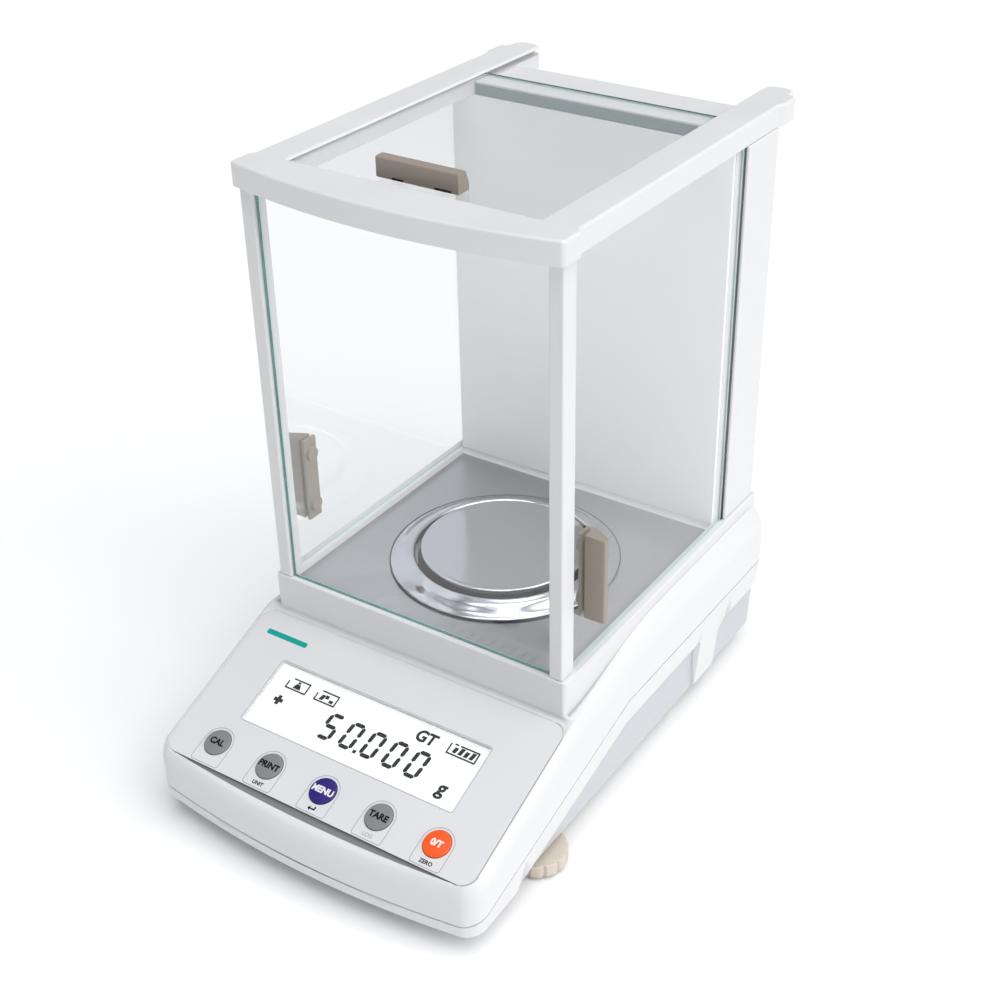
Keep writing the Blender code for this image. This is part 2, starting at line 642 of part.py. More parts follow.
def make_roof(looks):
    """Roof frame with grooves for the three doors, and the cover over the column."""
    frame = prism("roof_frame", roof_outline(), "Z", SHIELD_TOP_Z, ROOF_TOP_Z, looks["white"])
    groove_low, groove_high = TOP_GLASS_Z - GAP, TOP_GLASS_Z + GLASS + GAP
    groove = box("roof_groove", (-TOP_GLASS_HALF_WIDTH - 0.0005, -0.0525, groove_low),
                 (TOP_GLASS_HALF_WIDTH + 0.0005, 0.2, groove_high))
    cut(frame, groove)
    for side in (-1, 1):
        low, high = groove_sides(side)
        cut(frame, box(f"roof_door_groove_{side}", (low, DOOR_FRONT_Y - GAP, 0.32),
                       (high, 0.2, SHIELD_TOP_Z + RAIL_GROOVE_DEPTH)))
    box("roof_rear_cover", (-RAIL_INNER_X + GAP, CHAMBER_REAR_Y + 0.001, SHIELD_TOP_Z),
        (RAIL_INNER_X - GAP, PANEL_REAR_Y, groove_low - GAP), looks["white"])


def make_column(looks):
    """Rear column: pale back panel, hollow housing behind it and the two outer side panels."""
    low, high = LEDGE_Z + GAP, SHIELD_TOP_Z - GAP
    half = DOOR_OUTER_X - GLASS - 0.0007
    box("chamber_back_panel", (-half, CHAMBER_REAR_Y, low), (half, CHAMBER_REAR_Y + 0.0025, high),
        looks["panel"])
    front = CHAMBER_REAR_Y + 0.0028
    housing = box("column_housing", (-half, front, low), (half, COLUMN_REAR_Y, high), looks["white"])
    wall = 0.0025
    cut(housing, box("housing_hollow", (-half + wall, front - 0.01, low + wall),
                     (half - wall, COLUMN_REAR_Y - wall, high - wall)))
    for side, name in ((-1, "left"), (1, "right")):
        inner, outer = side * (DOOR_OUTER_X + 0.0007), side * PANEL_OUTER_X
        x0, x1 = sorted((inner, outer))
        box(f"column_side_{name}", (x0, DOOR_REAR_Y + 0.0006, low), (x1, PANEL_REAR_Y, high), looks["white"])


def make_level(looks):
    """Bubble level on the deck behind the column: a cup and the vial in it."""
    low = LEDGE_Z + GAP
    turned("level_cup", [(0, low), (0.0085, low), (0.0085, low + 0.008), (0.0073, low + 0.008),
                         (0.0073, low + 0.0015), (0, low + 0.0015)], looks["level_cup"], origin=LEVEL_PLACE)
    cylinder("level_vial", 0.0070, low + 0.0018, low + 0.0084, looks["level_vial"], origin=LEVEL_PLACE,
             steps=32)


# ---------------------------------------------------------------- rear ports, feet and screws

def make_ports(looks):
    """Round power socket and nine-pin data socket in the rear wall."""
    turned("power_inlet", [(0, 0.012), (INLET_RADIUS, 0.012), (INLET_RADIUS, 0.0), (0.0028, 0.0),
                           (0.0028, 0.009), (0, 0.009)],
           looks["black"], origin=(INLET_X, BASE_REAR_Y, PORT_Z), steps=24, tilt=(math.pi / 2, 0, 0))
    half_top, half_low, half_tall = 0.0085, 0.0075, 0.0042
    flange = box("data_port", (PORT_X - PORT_HALF_WIDTH, BASE_REAR_Y - 0.0075, PORT_Z - PORT_HALF_HEIGHT),
                 (PORT_X + PORT_HALF_WIDTH, BASE_REAR_Y - 0.0002, PORT_Z + PORT_HALF_HEIGHT), looks["steel"])
    shell = [(PORT_X - half_low, PORT_Z - half_tall), (PORT_X + half_low, PORT_Z - half_tall),
             (PORT_X + half_top, PORT_Z + half_tall), (PORT_X - half_top, PORT_Z + half_tall)]
    fuse(flange, prism("port_shell", shell, "Y", BASE_REAR_Y - 0.001, BASE_REAR_Y + 0.005))


def wheel_outline():
    """Rim of the foot wheel with finger notches cut in it."""
    points = []
    count = 12
    for k in range(count):
        start = 360 * k / count
        points += arc((0, 0), WHEEL_RADIUS, start + 3, start + 27, 3)
        middle = math.radians(start + 30)
        dip = WHEEL_RADIUS - WHEEL_DIP
        points.append((dip * math.cos(middle), dip * math.sin(middle)))
    return points


def make_feet(looks):
    """Two screw feet in front, each a pad and a wheel with its stud, and two fixed rear feet."""
    for side, name in ((-1, "left"), (1, "right")):
        centre = (side * FOOT_X, FOOT_Y, 0.0)
        turned(f"foot_pad_{name}", [(0, 0), (0.0065, 0), (0.0070, 0.0005), (0.0070, 0.0020), (0, 0.0020)],
               looks["rubber"], origin=centre, steps=24)
        wheel = prism(f"foot_wheel_{name}", [(x + centre[0], y + centre[1]) for x, y in wheel_outline()],
                      "Z", 0.0023, 0.0098, looks["foot"], origin=centre)
        fuse(wheel, cylinder(f"stud_{name}", 0.0030, 0.0090, 0.0230, origin=centre, steps=16))
        turned(f"rear_foot_{name}", [(0, 0), (0.0085, 0), (0.0095, 0.0012), (0.0095, TRAY_BOTTOM_Z - GAP),
                                     (0, TRAY_BOTTOM_Z - GAP)],
               looks["rubber"], origin=(side * REAR_FOOT_X, REAR_FOOT_Y, 0), steps=24)


def make_screws(metal):
    """Four long screws that hold the two casings together."""
    names = ("front_left", "front_right", "rear_left", "rear_right")
    for name, (x, y) in zip(names, SCREW_PLACES):
        head_top = TRAY_BOTTOM_Z - GAP
        tip = parting_height(y) + 0.012
        turned(f"base_screw_{name}", [(0, head_top - 0.0024), (0.0030, head_top - 0.0024),
                                      (0.0038, head_top - 0.0014), (0.0038, head_top), (0.0020, head_top),
                                      (0.0020, tip), (0, tip)], metal, origin=(x, y, 0), steps=16)


# ---------------------------------------------------------------- whole balance

def make_looks():
    """One material for each kind of surface."""
    grey = material("grey key", (0.21, 0.21, 0.22), 0.45)
    return {
        "white": material("white casing", (0.87, 0.87, 0.87), 0.42),
        "panel": material("pale panel", (0.70, 0.71, 0.72), 0.5),
        "glass": material("glass", (0.75, 0.90, 0.87), 0.05, alpha=0.25),
        "film": material("console film", (0.80, 0.80, 0.80), 0.4),
        "clear": material("display window", (0.85, 0.88, 0.88), 0.08, alpha=0.3),
        "lcd": material("display glass", (0.75, 0.77, 0.76), 0.2),
        "board": material("circuit board", (0.03, 0.20, 0.08), 0.5),
        "key_cal": grey,
        "key_print": grey,
        "key_menu": material("purple key", (0.03, 0.006, 0.15), 0.45),
        "key_tare": grey,
        "key_zero": material("orange key", (1.0, 0.10, 0.0), 0.45),
        "cast": material("cast aluminium", (0.55, 0.56, 0.57), 0.5, 1.0),
        "steel": material("machined steel", (0.5, 0.5, 0.5), 0.3, 1.0),
        "pan": material("pan steel", (0.60, 0.60, 0.60), 0.18, 1.0),
        "ring": material("ring steel", (0.62, 0.62, 0.61), 0.15, 1.0),
        "floor": material("brushed floor steel", (0.42, 0.42, 0.42), 0.35, 1.0),
        "handle": material("taupe handle", (0.33, 0.28, 0.24), 0.5),
        "foot": material("beige foot", (0.66, 0.58, 0.50), 0.5),
        "rubber": material("rubber", (0.03, 0.03, 0.03), 0.8),
        "black": material("black socket", (0.02, 0.02, 0.02), 0.5),
        "level_cup": material("level cup", (0.03, 0.03, 0.03), 0.4),
        "level_vial": material("level vial", (0.45, 0.75, 0.25), 0.1),
    }


def centre_on_origin():
    """Hang every object on one empty, so that the whole balance stands around the origin."""
    hub = bpy.data.objects.new("balance", None)
    bpy.context.scene.collection.objects.link(hub)
    hub.location = (0.0, -(BASE_FRONT_Y + ROOF_TAIL_Y) / 2, 0.0)
    for item in bpy.data.objects:
        if item is not hub:
            item.parent = hub


def make_balance():
    """Build every sub-part in place."""
    clear_scene()
    looks = make_looks()
    make_tray(looks["white"])
    make_top_casing(looks["white"])
    make_console(looks)
    make_chassis(looks["cast"])
    make_main_board(looks["board"])
    make_force_cell(looks)
    make_pan(looks)
    make_pillars_and_front(looks)
    make_side_door(-1, "left", looks)
    make_side_door(1, "right", looks)
    make_top_door(looks)
    make_roof(looks)
    make_column(looks)
    make_level(looks)
    make_ports(looks)
    make_feet(looks)
    make_screws(looks["steel"])
    centre_on_origin()


make_balance()
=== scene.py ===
import math

import bpy
import numpy as np
from mathutils import Matrix, Vector


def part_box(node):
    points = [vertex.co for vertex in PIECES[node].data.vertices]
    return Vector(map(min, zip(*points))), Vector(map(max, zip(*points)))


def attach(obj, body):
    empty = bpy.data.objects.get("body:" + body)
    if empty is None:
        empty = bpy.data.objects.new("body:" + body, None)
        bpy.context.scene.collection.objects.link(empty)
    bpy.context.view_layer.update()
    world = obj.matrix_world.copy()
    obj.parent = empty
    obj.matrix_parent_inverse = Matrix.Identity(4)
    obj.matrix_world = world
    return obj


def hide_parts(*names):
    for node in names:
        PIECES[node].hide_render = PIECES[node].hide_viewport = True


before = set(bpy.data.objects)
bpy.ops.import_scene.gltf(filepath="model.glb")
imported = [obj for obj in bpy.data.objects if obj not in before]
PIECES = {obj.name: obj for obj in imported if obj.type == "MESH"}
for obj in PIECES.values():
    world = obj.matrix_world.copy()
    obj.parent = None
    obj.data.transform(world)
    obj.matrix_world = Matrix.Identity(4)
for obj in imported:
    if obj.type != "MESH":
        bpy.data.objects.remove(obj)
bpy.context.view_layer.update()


# ------------------------------------------------------------------ lower casing
# The lower half of the base: an open tray moulded in white ABS, with drafted walls, finger recesses along
# both flanks and a leg between the long recess and the short one. It screws up against the upper casing.

BASE_HALF_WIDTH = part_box("base_tray")[1].x
BASE_FRONT_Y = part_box("base_tray")[0].y
BASE_REAR_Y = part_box("base_tray")[1].y
TRAY_BOTTOM_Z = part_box("base_tray")[0].z
CONSOLE_REAR_Y = -0.0741
PLINTH_FRONT_Y = -0.0702
FRONT_BOW = 0.007
FRONT_CORNER = 0.013
REAR_CORNER = 0.0125
CASE_WALL = 0.0028
PARTING_REAR_Z = 0.064
PARTING_FRONT_Z = 0.0215
PARTING_BEND_Y = -0.0188
PARTING_SLOPE = 0.2825
PARTING_GAP = 0.0008
TRAY_SLANT = math.tan(math.radians(5))
TRAY_EDGE = 0.0022
RECESS_DEPTH = 0.0065
RECESS_FLOOR = (RECESS_DEPTH - 0.0005, RECESS_DEPTH + 0.0015)
RECESS_DROP = 0.016
RECESS_FRONT_Y = -0.1275
RECESS_REAR_Y = 0.069
SHORT_RECESS_Y = 0.0935
SHORT_RECESS_TOP_Z = 0.0457
ABS_WHITE = "#E6E6E7"
SMOOTH_ANGLE = math.radians(32)
UNDER = -0.01
BEYOND = 0.2
ASIDE = 0.13
SIDEWAYS = Matrix(((0, 0, 1, 0), (1, 0, 0, 0), (0, 1, 0, 0), (0, 0, 0, 1)))  # plan (y, z), height along X
BACKWARDS = Matrix(((0, 1, 0, 0), (0, 0, 1, 0), (1, 0, 0, 0), (0, 0, 0, 1)))  # plan (z, x), height along Y


def middle(node):
    """Centre of a CAD node's box."""
    return [(a + b) / 2 for a, b in zip(*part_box(node))]


def belongs(made, body, node):
    """Puts a piece on the body it rides and hides the CAD node that it stands for."""
    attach(made, body)
    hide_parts(node)


def srgb(code):
    """Linear red, green, blue and alpha of an sRGB hex colour: c / 12.92 when dark, else a power of 2.4."""
    shares = [int(code[i:i + 2], 16) / 255 for i in (1, 3, 5)]
    return [c / 12.92 if c <= 0.04045 else ((c + 0.055) / 1.055) ** 2.4 for c in shares] + [1.0]


def darker(code, share):
    """The same colour with a share of its light taken away."""
    return [c * (1 - share) for c in srgb(code)[:3]] + [1.0]


def add_node(material, kind, settings=(), links=()):
    """One node. settings are (socket or property, value), links are (socket, source node, output)."""
    tree = material.node_tree
    node = tree.nodes.new(kind)
    for name, value in settings:
        if isinstance(name, int) or name in node.inputs:
            node.inputs[name].default_value = value
        else:
            setattr(node, name, value)
    for socket, source, output in links:
        tree.links.new(source.outputs[output], node.inputs[socket])
    return node


def add_noise(material, scale, detail=2.0, roughness=0.5, at=None):
    """A noise texture over the object's own coordinates, or over at, which is a node and its output."""
    at = at or (add_node(material, "ShaderNodeTexCoord"), "Object")
    return add_node(material, "ShaderNodeTexNoise",
                    [("Scale", scale), ("Detail", detail), ("Roughness", roughness)], [("Vector", *at)])


def finish_material(name, settings):
    """A material of one Principled shader with its plain settings; returns the material and the shader."""
    material = bpy.data.materials.new(name)
    material.use_nodes = True
    shader = material.node_tree.nodes["Principled BSDF"]
    for socket, value in settings:
        shader.inputs[socket].default_value = value
    return material, shader


def textured(material, shader, tint=None, gloss=None, bump=None):
    """Feeds a shader from textures: tint is (dark, light, texture), gloss is (roughness from, to, value from,
    to, texture) and bump is (strength, distance, texture). Each reads its texture's first output."""
    links = material.node_tree.links
    if tint:
        mix = add_node(material, "ShaderNodeMix", [("data_type", "RGBA"), (6, tint[0]), (7, tint[1])],
                       [(0, tint[2], 0)])
        links.new(mix.outputs[2], shader.inputs["Base Color"])
    if gloss:
        spread = add_node(material, "ShaderNodeMapRange",
                          zip(("To Min", "To Max", "From Min", "From Max"), gloss), [("Value", gloss[4], 0)])
        links.new(spread.outputs["Result"], shader.inputs["Roughness"])
    if bump:
        relief = add_node(material, "ShaderNodeBump", zip(("Strength", "Distance"), bump),
                          [("Height", bump[2], 0)])
        links.new(relief.outputs["Normal"], shader.inputs["Normal"])
    return material


def moulded_plastic(name, colour, roughness, grain_mm=0.5, relief_mm=0.012, shade=0.04, sheen=0.0):
    """Injection-moulded plastic, IOR 1.53: a spark-eroded grain a few tenths of a millimetre across breaks
    the highlight, wide patches shift the colour a little, and the gloss wanders as handling polishes it."""
    material, shader = finish_material(name, [("IOR", 1.53), ("Sheen Weight", sheen)])
    grain = add_noise(material, 1000 / grain_mm, 3.0)
    patches = add_noise(material, 28.0, 4.0, 0.6)
    return textured(material, shader, (darker(colour, shade), srgb(colour), patches),
                    (roughness - 0.05, roughness + 0.06, 0.3, 0.7, patches), (0.35, relief_mm / 1000, grain))


def rounded_polygon(corners, steps=6):
    """Points and outward normals of an anticlockwise polygon, given by corners of (x, y, fillet radius). A
    fillet touches both sides, so its centre lies radius / cos(half turn) along the bisector."""
    places = np.array([c[:2] for c in corners], float)
    ahead = np.roll(places, -1, axis=0) - places
    ahead /= np.linalg.norm(ahead, axis=1, keepdims=True)
    behind = np.roll(ahead, 1, axis=0)
    points, normals = [], []
    for (x, y, radius), a, b in zip(corners, behind, ahead):
        first, last = np.array([a[1], -a[0]]), np.array([b[1], -b[0]])
        turn = math.atan2(a[0] * b[1] - a[1] * b[0], a @ b)
        middle = (first + last) / np.linalg.norm(first + last)
        stretch = 1 / math.cos(turn / 2)
        if radius == 0 or abs(turn) < 1e-6:
            points.append([[x, y]])
            normals.append([middle * stretch])
            continue
        side = math.copysign(1, turn)
        centre = np.array([x, y]) - side * middle * radius * stretch
        angles = math.atan2(first[1], first[0]) + turn * np.linspace(0, 1, steps + 1)
        out = np.stack([np.cos(angles), np.sin(angles)], axis=1)
        points.append(centre + side * radius * out)
        normals.append(out)
    return np.concatenate(points), np.concatenate(normals)


def rounded_box(x0, y0, x1, y1, corner, steps=6):
    """Outline of a rectangle with its corners rounded."""
    return rounded_polygon([(x0, y0, corner), (x1, y0, corner), (x1, y1, corner), (x0, y1, corner)], steps)


def base_outline():
    """Plan of the base, anticlockwise: a parabola y = front + bow (x / c)^2 along the front, a round corner
    that it runs into, a straight flank and a quarter-round rear corner, then the same mirrored."""
    c = BASE_HALF_WIDTH - FRONT_CORNER
    x = np.linspace(0, c, 18)
    front = np.stack([x, BASE_FRONT_Y + FRONT_BOW * (x / c) ** 2], axis=1)
    front_out = np.stack([2 * FRONT_BOW * x / c ** 2, -np.ones_like(x)], axis=1)
    front_out /= np.linalg.norm(front_out, axis=1, keepdims=True)
    start = math.atan2(front_out[-1, 1], front_out[-1, 0])
    turn = np.linspace(start, 0, 10)[1:]
    corner_out = np.stack([np.cos(turn), np.sin(turn)], axis=1)
    corner = front[-1] - FRONT_CORNER * front_out[-1] + FRONT_CORNER * corner_out
    corner[:, 0] += BASE_HALF_WIDTH - corner[-1, 0]
    flank_y = np.linspace(corner[-1, 1], BASE_REAR_Y - REAR_CORNER, 44)[1:-1]
    flank_y = np.sort(np.append(flank_y, [PARTING_BEND_Y, CONSOLE_REAR_Y, PLINTH_FRONT_Y]))
    flank = np.stack([np.full_like(flank_y, BASE_HALF_WIDTH), flank_y], axis=1)
    turn = np.linspace(0, math.pi / 2, 8)
    rear_out = np.stack([np.cos(turn), np.sin(turn)], axis=1)
    rear = np.array([BASE_HALF_WIDTH - REAR_CORNER, BASE_REAR_Y - REAR_CORNER]) + REAR_CORNER * rear_out
    points = np.concatenate([front, corner, flank, rear])
    normals = np.concatenate([front_out, corner_out, np.tile([1.0, 0.0], (len(flank), 1)), rear_out])
    return tuple(np.concatenate([half, half[:0:-1] * [-1.0, 1.0]]) for half in (points, normals))


def carried(outline, profile, place=None):
    """Grid of a profile carried along an outline: point (i, j) is outline point i, set in along its normal by
    the profile's inset j and raised to its height j. Both are numbers or rules of y. place turns the grid."""
    points, normals = outline
    columns = []
    for inset, height in profile:
        depth = inset(points[:, 1]) if callable(inset) else np.full(len(points), inset)
        plan = points - normals * depth[:, None]
        level = height(plan[:, 1]) if callable(height) else np.full(len(points), height)
        columns.append(np.column_stack([plan, level]))
    grid = np.stack(columns, axis=1)
    if place is not None:
        turn = np.array(place)
        grid = grid @ turn[:3, :3].T + turn[:3, 3]
    return grid


def smooth(made):
    """Smooth shading up to an angle, with normals weighted by area so that flat faces stay flat."""
    made.data.shade_smooth()
    made.data.set_sharp_from_angle(angle=SMOOTH_ANGLE)
    made.modifiers.new("flat faces stay flat", "WEIGHTED_NORMAL").keep_sharp = True


def add_mesh(name, vertices, faces, materials):
    """An object at the origin with its place in its mesh."""
    mesh = bpy.data.meshes.new(name)
    mesh.from_pydata(vertices, [], faces)
    mesh.validate()
    made = bpy.data.objects.new(name, mesh)
    bpy.context.scene.collection.objects.link(made)
    for material in materials:
        mesh.materials.append(material)
    smooth(made)
    return made


def skin(name, grid, materials=(), ends="face"):
    """Mesh over a grid whose first index runs round: quads between neighbours, then its ends: a face over the
    first and the last ring, a ladder of faces from side to side, or, for a hoop, quads back to the first."""
    around, along = grid.shape[:2]
    i = np.arange(around)[:, None]
    j = np.arange(along if ends == "hoop" else along - 1)[None, :]
    ahead, above = (i + 1) % around, (j + 1) % along
    quads = np.stack([i * along + j, ahead * along + j, ahead * along + above, i * along + above], axis=-1)
    faces = quads.reshape(-1, 4).tolist()
    ring = np.arange(around) * along
    if ends == "face":
        faces += [ring[::-1].tolist(), (ring + along - 1).tolist()]
    if ends == "ladder":
        rungs = [(k, k + 1, around - k - 1, around - k) for k in range(1, around // 2)] + [(0, 1, around - 1)]
        faces += [[int(ring[k]) for k in rung[::-1]] for rung in rungs]
        faces += [[int(ring[k]) + along - 1 for k in rung] for rung in rungs]
    return add_mesh(name, grid.reshape(-1, 3).tolist(), faces, materials)


def slab(low, high, edge, steps=4):
    """Profile of a slab from one height to another. Its two rims are sharp or quarter rounds: inset
    edge (1 - cos t) and height edge (1 - sin t) from the face."""
    if not edge:
        return [(0.0, low), (0.0, high)]
    t = np.linspace(math.pi / 2, 0, steps + 1)
    inset = edge * (1 - np.cos(t))
    rise = edge * (1 - np.sin(t))
    return list(zip(inset, low + rise)) + [(a, high - b) for a, b in zip(inset[::-1], rise[::-1])]


def block(name, outline, low, high, materials=(), edge=0.0, place=None):
    """A solid with an outline carried from one height to another, its rims rounded by edge."""
    return skin(name, carried(outline, slab(low, high, edge), place), materials)


def plan_block(name, low, high, materials=(), corner=0.0, edge=0.0):
    """An upright block between two corners, its upright edges rounded by corner and its rims by edge."""
    (x0, y0, z0), (x1, y1, z1) = low, high
    return block(name, rounded_box(x0, y0, x1, y1, corner), z0, z1, materials, edge)


def carve(target, cutters, operation="DIFFERENCE"):
    """Cuts or joins helper solids with the target, keeps only the result, and shades it again."""
    for cutter in cutters:
        step = target.modifiers.new(cutter.name, "BOOLEAN")
        step.operation = operation
        step.object = cutter
        step.solver = "EXACT"
    target.modifiers.remove(target.modifiers["flat faces stay flat"])
    evaluated = target.evaluated_get(bpy.context.evaluated_depsgraph_get())
    shape = bpy.data.meshes.new_from_object(evaluated)
    target.modifiers.clear()
    target.data = shape
    for cutter in cutters:
        bpy.data.objects.remove(cutter)
    smooth(target)


def disc_outline(x, y, radius, steps=48):
    """A circle's points and outward normals, anticlockwise."""
    t = np.linspace(0, 2 * math.pi, steps, endpoint=False)
    out = np.stack([np.cos(t), np.sin(t)], axis=1)
    return np.array([x, y]) + radius * out, out


def parting_height(y):
    """Height of the joint between the casings: level at the rear, then down a slope, with a lowest value."""
    return np.maximum(PARTING_REAR_Z - PARTING_SLOPE * np.maximum(0.0, PARTING_BEND_Y - y), PARTING_FRONT_Z)


def recess_corners(grow, radius):
    """Side view of the long finger recess: it follows the parting line from 16 mm below it."""
    front, rear = RECESS_FRONT_Y - grow, RECESS_REAR_Y + grow
    tops = [(y, float(parting_height(y)) - (RECESS_DROP - grow)) for y in (rear, PARTING_BEND_Y, front)]
    return [(front, UNDER, 0), (rear, UNDER, 0), (*tops[0], radius), (*tops[1], 0), (*tops[2], radius)]


def short_recess_corners(grow, radius):
    """Side view of the short recess behind the leg, open at the rear."""
    front, top = SHORT_RECESS_Y - grow, SHORT_RECESS_TOP_Z + grow
    return [(front, UNDER, 0), (BEYOND, UNDER, 0), (BEYOND, top, 0), (front + 0.005, top, radius),
            (front, top - 0.006, radius)]


def recess_cutters(grow, radius):
    """The recesses on both flanks, or the same grown by a wall for the hollow behind them."""
    depth = BASE_HALF_WIDTH - RECESS_DEPTH - grow
    views = [rounded_polygon(rule(grow, radius)) for rule in (recess_corners, short_recess_corners)]
    return [block(f"recess {side} {index}", view, *sorted((side * depth, side * ASIDE)), place=SIDEWAYS)
            for side in (-1, 1) for index, view in enumerate(views)]


def tray_profile(inset, floor, top, edge):
    """Profile of the tray's drafted wall: a quarter round from the floor, then up to the parting line."""
    t = np.linspace(math.pi / 2, 0, 5)
    foot = [((lambda y, a=edge * (1 - math.cos(s)): inset + a + (parting_height(y) - floor) * TRAY_SLANT),
             floor + edge * (1 - math.sin(s))) for s in t]
    return foot + [(inset, lambda y: parting_height(y) + top)]


white_abs = moulded_plastic("textured white ABS", ABS_WHITE, 0.40)
# The recess faces get a greyer white than the casing: painted shade for the shade inside the finger recesses.
recess_shade_grey = moulded_plastic("textured grip recess with painted shade", "#CCCED2", 0.5, 0.9, 0.020, 0.05)
tray_wall = tray_profile(0.0, TRAY_BOTTOM_Z, -PARTING_GAP, TRAY_EDGE)
lower_casing = skin("lower_casing", carried(base_outline(), tray_wall), [white_abs], "ladder")
inner_wall = tray_profile(CASE_WALL, TRAY_BOTTOM_Z + CASE_WALL, 0.02, 0.001)
tray_hollow = skin("tray hollow", carried(base_outline(), inner_wall), ends="ladder")
carve(tray_hollow, recess_cutters(CASE_WALL, 0.004))
carve(lower_casing, [tray_hollow] + recess_cutters(0.0, 0.003))
# Faces on the recess floors take the greyer material, the painted shade.
lower_casing.data.materials.append(recess_shade_grey)
for face in lower_casing.data.polygons:
    inset = BASE_HALF_WIDTH - abs(face.center.x)
    outward = face.normal.x * math.copysign(1, face.center.x)
    if RECESS_FLOOR[0] < inset < RECESS_FLOOR[1] and outward > 0.9:
        face.material_index = 1
belongs(lower_casing, "base", "base_tray")


# ------------------------------------------------------------------ upper casing
# The upper half of the base, moulded in the same ABS: a sloping console with a shallow pocket for its film, a
# rounded shoulder down both flanks, and behind it a square plinth with the ledge that the draught shield
# stands on.

LEDGE_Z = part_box("top_casing")[1].z
CONSOLE_REAR_Z = 0.082
CONSOLE_ANGLE = math.radians(21.6)
SHOULDER_REAR_Z = 0.098
SHOULDER_LEVEL_Y = 0.0245
SHOULDER_WIDE_Y = -0.0055
PLINTH_HALF_WIDTH = 0.0955
PLINTH_REAR_Y = 0.1515
PLINTH_CORNER = 0.0026
PLINTH_RIM = 0.0009
FILM_HALF_WIDTH = 0.100
FILM_LENGTH = 0.0985
FILM_THICKNESS = 0.0006
FILM_CORNER = 0.008
SLOT_HALF_WIDTH = 0.0925
SLOT_WIDTH = 0.0044
SLOT_DEPTH = 0.0024
WINDOW_HALF_WIDTH = 0.069
WINDOW_REAR = -0.0268
WINDOW_FRONT = -0.0660
KEY_ROW = -0.0842
KEY_PITCH = 0.036
KEY_RADIUS = 0.0075
FLOOR_HALF_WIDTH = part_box("floor_plate")[1].x
FLOOR_UNDER_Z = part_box("floor_plate")[0].z
PAN_Y = middle("weighing_pan")[1]
POST_HOLE_RADIUS = 0.016
DOOR_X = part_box("door_right")[1].x
DOOR_FRONT_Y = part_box("door_right")[0].y
GLASS_THICKNESS = 0.003
DOOR_PLAY = 0.0004
LEDGE_GROOVE = 0.0012
GAP = 0.0003
PLINTH_HOLLOW_Z = (0.07, 0.0972)
POST_HOLE_Z = (0.08, 0.12)
REAR_WALL_Y = (0.13, 0.17)
INLET_HOLE_RADIUS = 0.0063
PORT_HOLE_Y = 0.1365
CUT = 0.02
CONSOLE_PLACE = (Matrix.Translation((0, CONSOLE_REAR_Y, CONSOLE_REAR_Z))
                 @ Matrix.Rotation(CONSOLE_ANGLE, 4, "X"))


def smooth_step(value, low, high):
    """0 below low, 1 above high, and 3 t^2 - 2 t^3 of the share t between."""
    t = np.clip((value - low) / (high - low), 0, 1)
    return t * t * (3 - 2 * t)


def shoulder_height(y):
    """Height where the shoulder ends: the console's slope, then an easy rise beside the plinth."""
    slope = CONSOLE_REAR_Z + (np.minimum(y, PLINTH_FRONT_Y) - CONSOLE_REAR_Y) * math.tan(CONSOLE_ANGLE)
    rise = SHOULDER_REAR_Z - (CONSOLE_REAR_Z + (PLINTH_FRONT_Y - CONSOLE_REAR_Y) * math.tan(CONSOLE_ANGLE))
    return slope + rise * smooth_step(y, PLINTH_FRONT_Y, SHOULDER_LEVEL_Y)


def shoulder_width(y):
    """4.5 mm beside the console, 9 mm beside the plinth."""
    return 0.0045 + 0.0045 * smooth_step(y, CONSOLE_REAR_Y - 0.01, SHOULDER_WIDE_Y)


def shoulder_drop(y):
    """9 mm beside the console, 13 mm beside the plinth."""
    return 0.009 + 0.004 * smooth_step(y, CONSOLE_REAR_Y - 0.01, SHOULDER_WIDE_Y)


def casing_profile(inset, lowered, skirt, rim):
    """Profile of the casing's wall: a small rim at the parting line, a straight wall, and a shoulder that is
    a quarter ellipse, inset width (1 - cos t) and height drop (1 - sin t) below its end."""
    wall = [((inset + rim * share), (lambda y, rise=rim * up: parting_height(y) - skirt + rise))
            for share, up in ((1, 0), (0.3, 0.3), (0, 1))]
    shoulder = [((lambda y, a=1 - math.cos(s): inset + shoulder_width(y) * a),
                 (lambda y, b=1 - math.sin(s): shoulder_height(y) - shoulder_drop(y) * b - lowered))
                for s in np.linspace(0, math.pi / 2, 10)]
    return (wall if rim else wall[:1]) + shoulder


def console_block(name, outline, low, high, materials=(), edge=0.0):
    """A solid in the console's own plan, x across and y up the slope, between two heights off the film."""
    return block(name, outline, low, high, materials, edge, CONSOLE_PLACE)


def film_outline(grow):
    """Plan of the console film: a rectangle with round corners."""
    x = FILM_HALF_WIDTH + grow
    return rounded_box(-x, -FILM_LENGTH - grow, x, grow, FILM_CORNER, 8)


def window_outline(grow, radius=0.0):
    """Plan of the display window."""
    x = WINDOW_HALF_WIDTH + grow
    return rounded_box(-x, WINDOW_FRONT - grow, x, WINDOW_REAR + grow, radius)


def slot_outline():
    """Plan of the crescent between the film's straight front edge and the lip: a parabola's segment."""
    x = np.linspace(-SLOT_HALF_WIDTH, SLOT_HALF_WIDTH, 31)
    bow = -FILM_LENGTH - SLOT_WIDTH * (1 - (x / SLOT_HALF_WIDTH) ** 2)
    chord = -FILM_LENGTH + 0.0008
    return rounded_polygon([(a, b, 0) for a, b in zip(x, bow)] + [(x[-1], chord, 0), (x[0], chord, 0)])


def key_places():
    """Name of each key's body and its place across the console."""
    return [(f"key_{label}", (index - 2) * KEY_PITCH)
            for index, label in enumerate(("cal", "print", "menu", "tare", "zero"))]


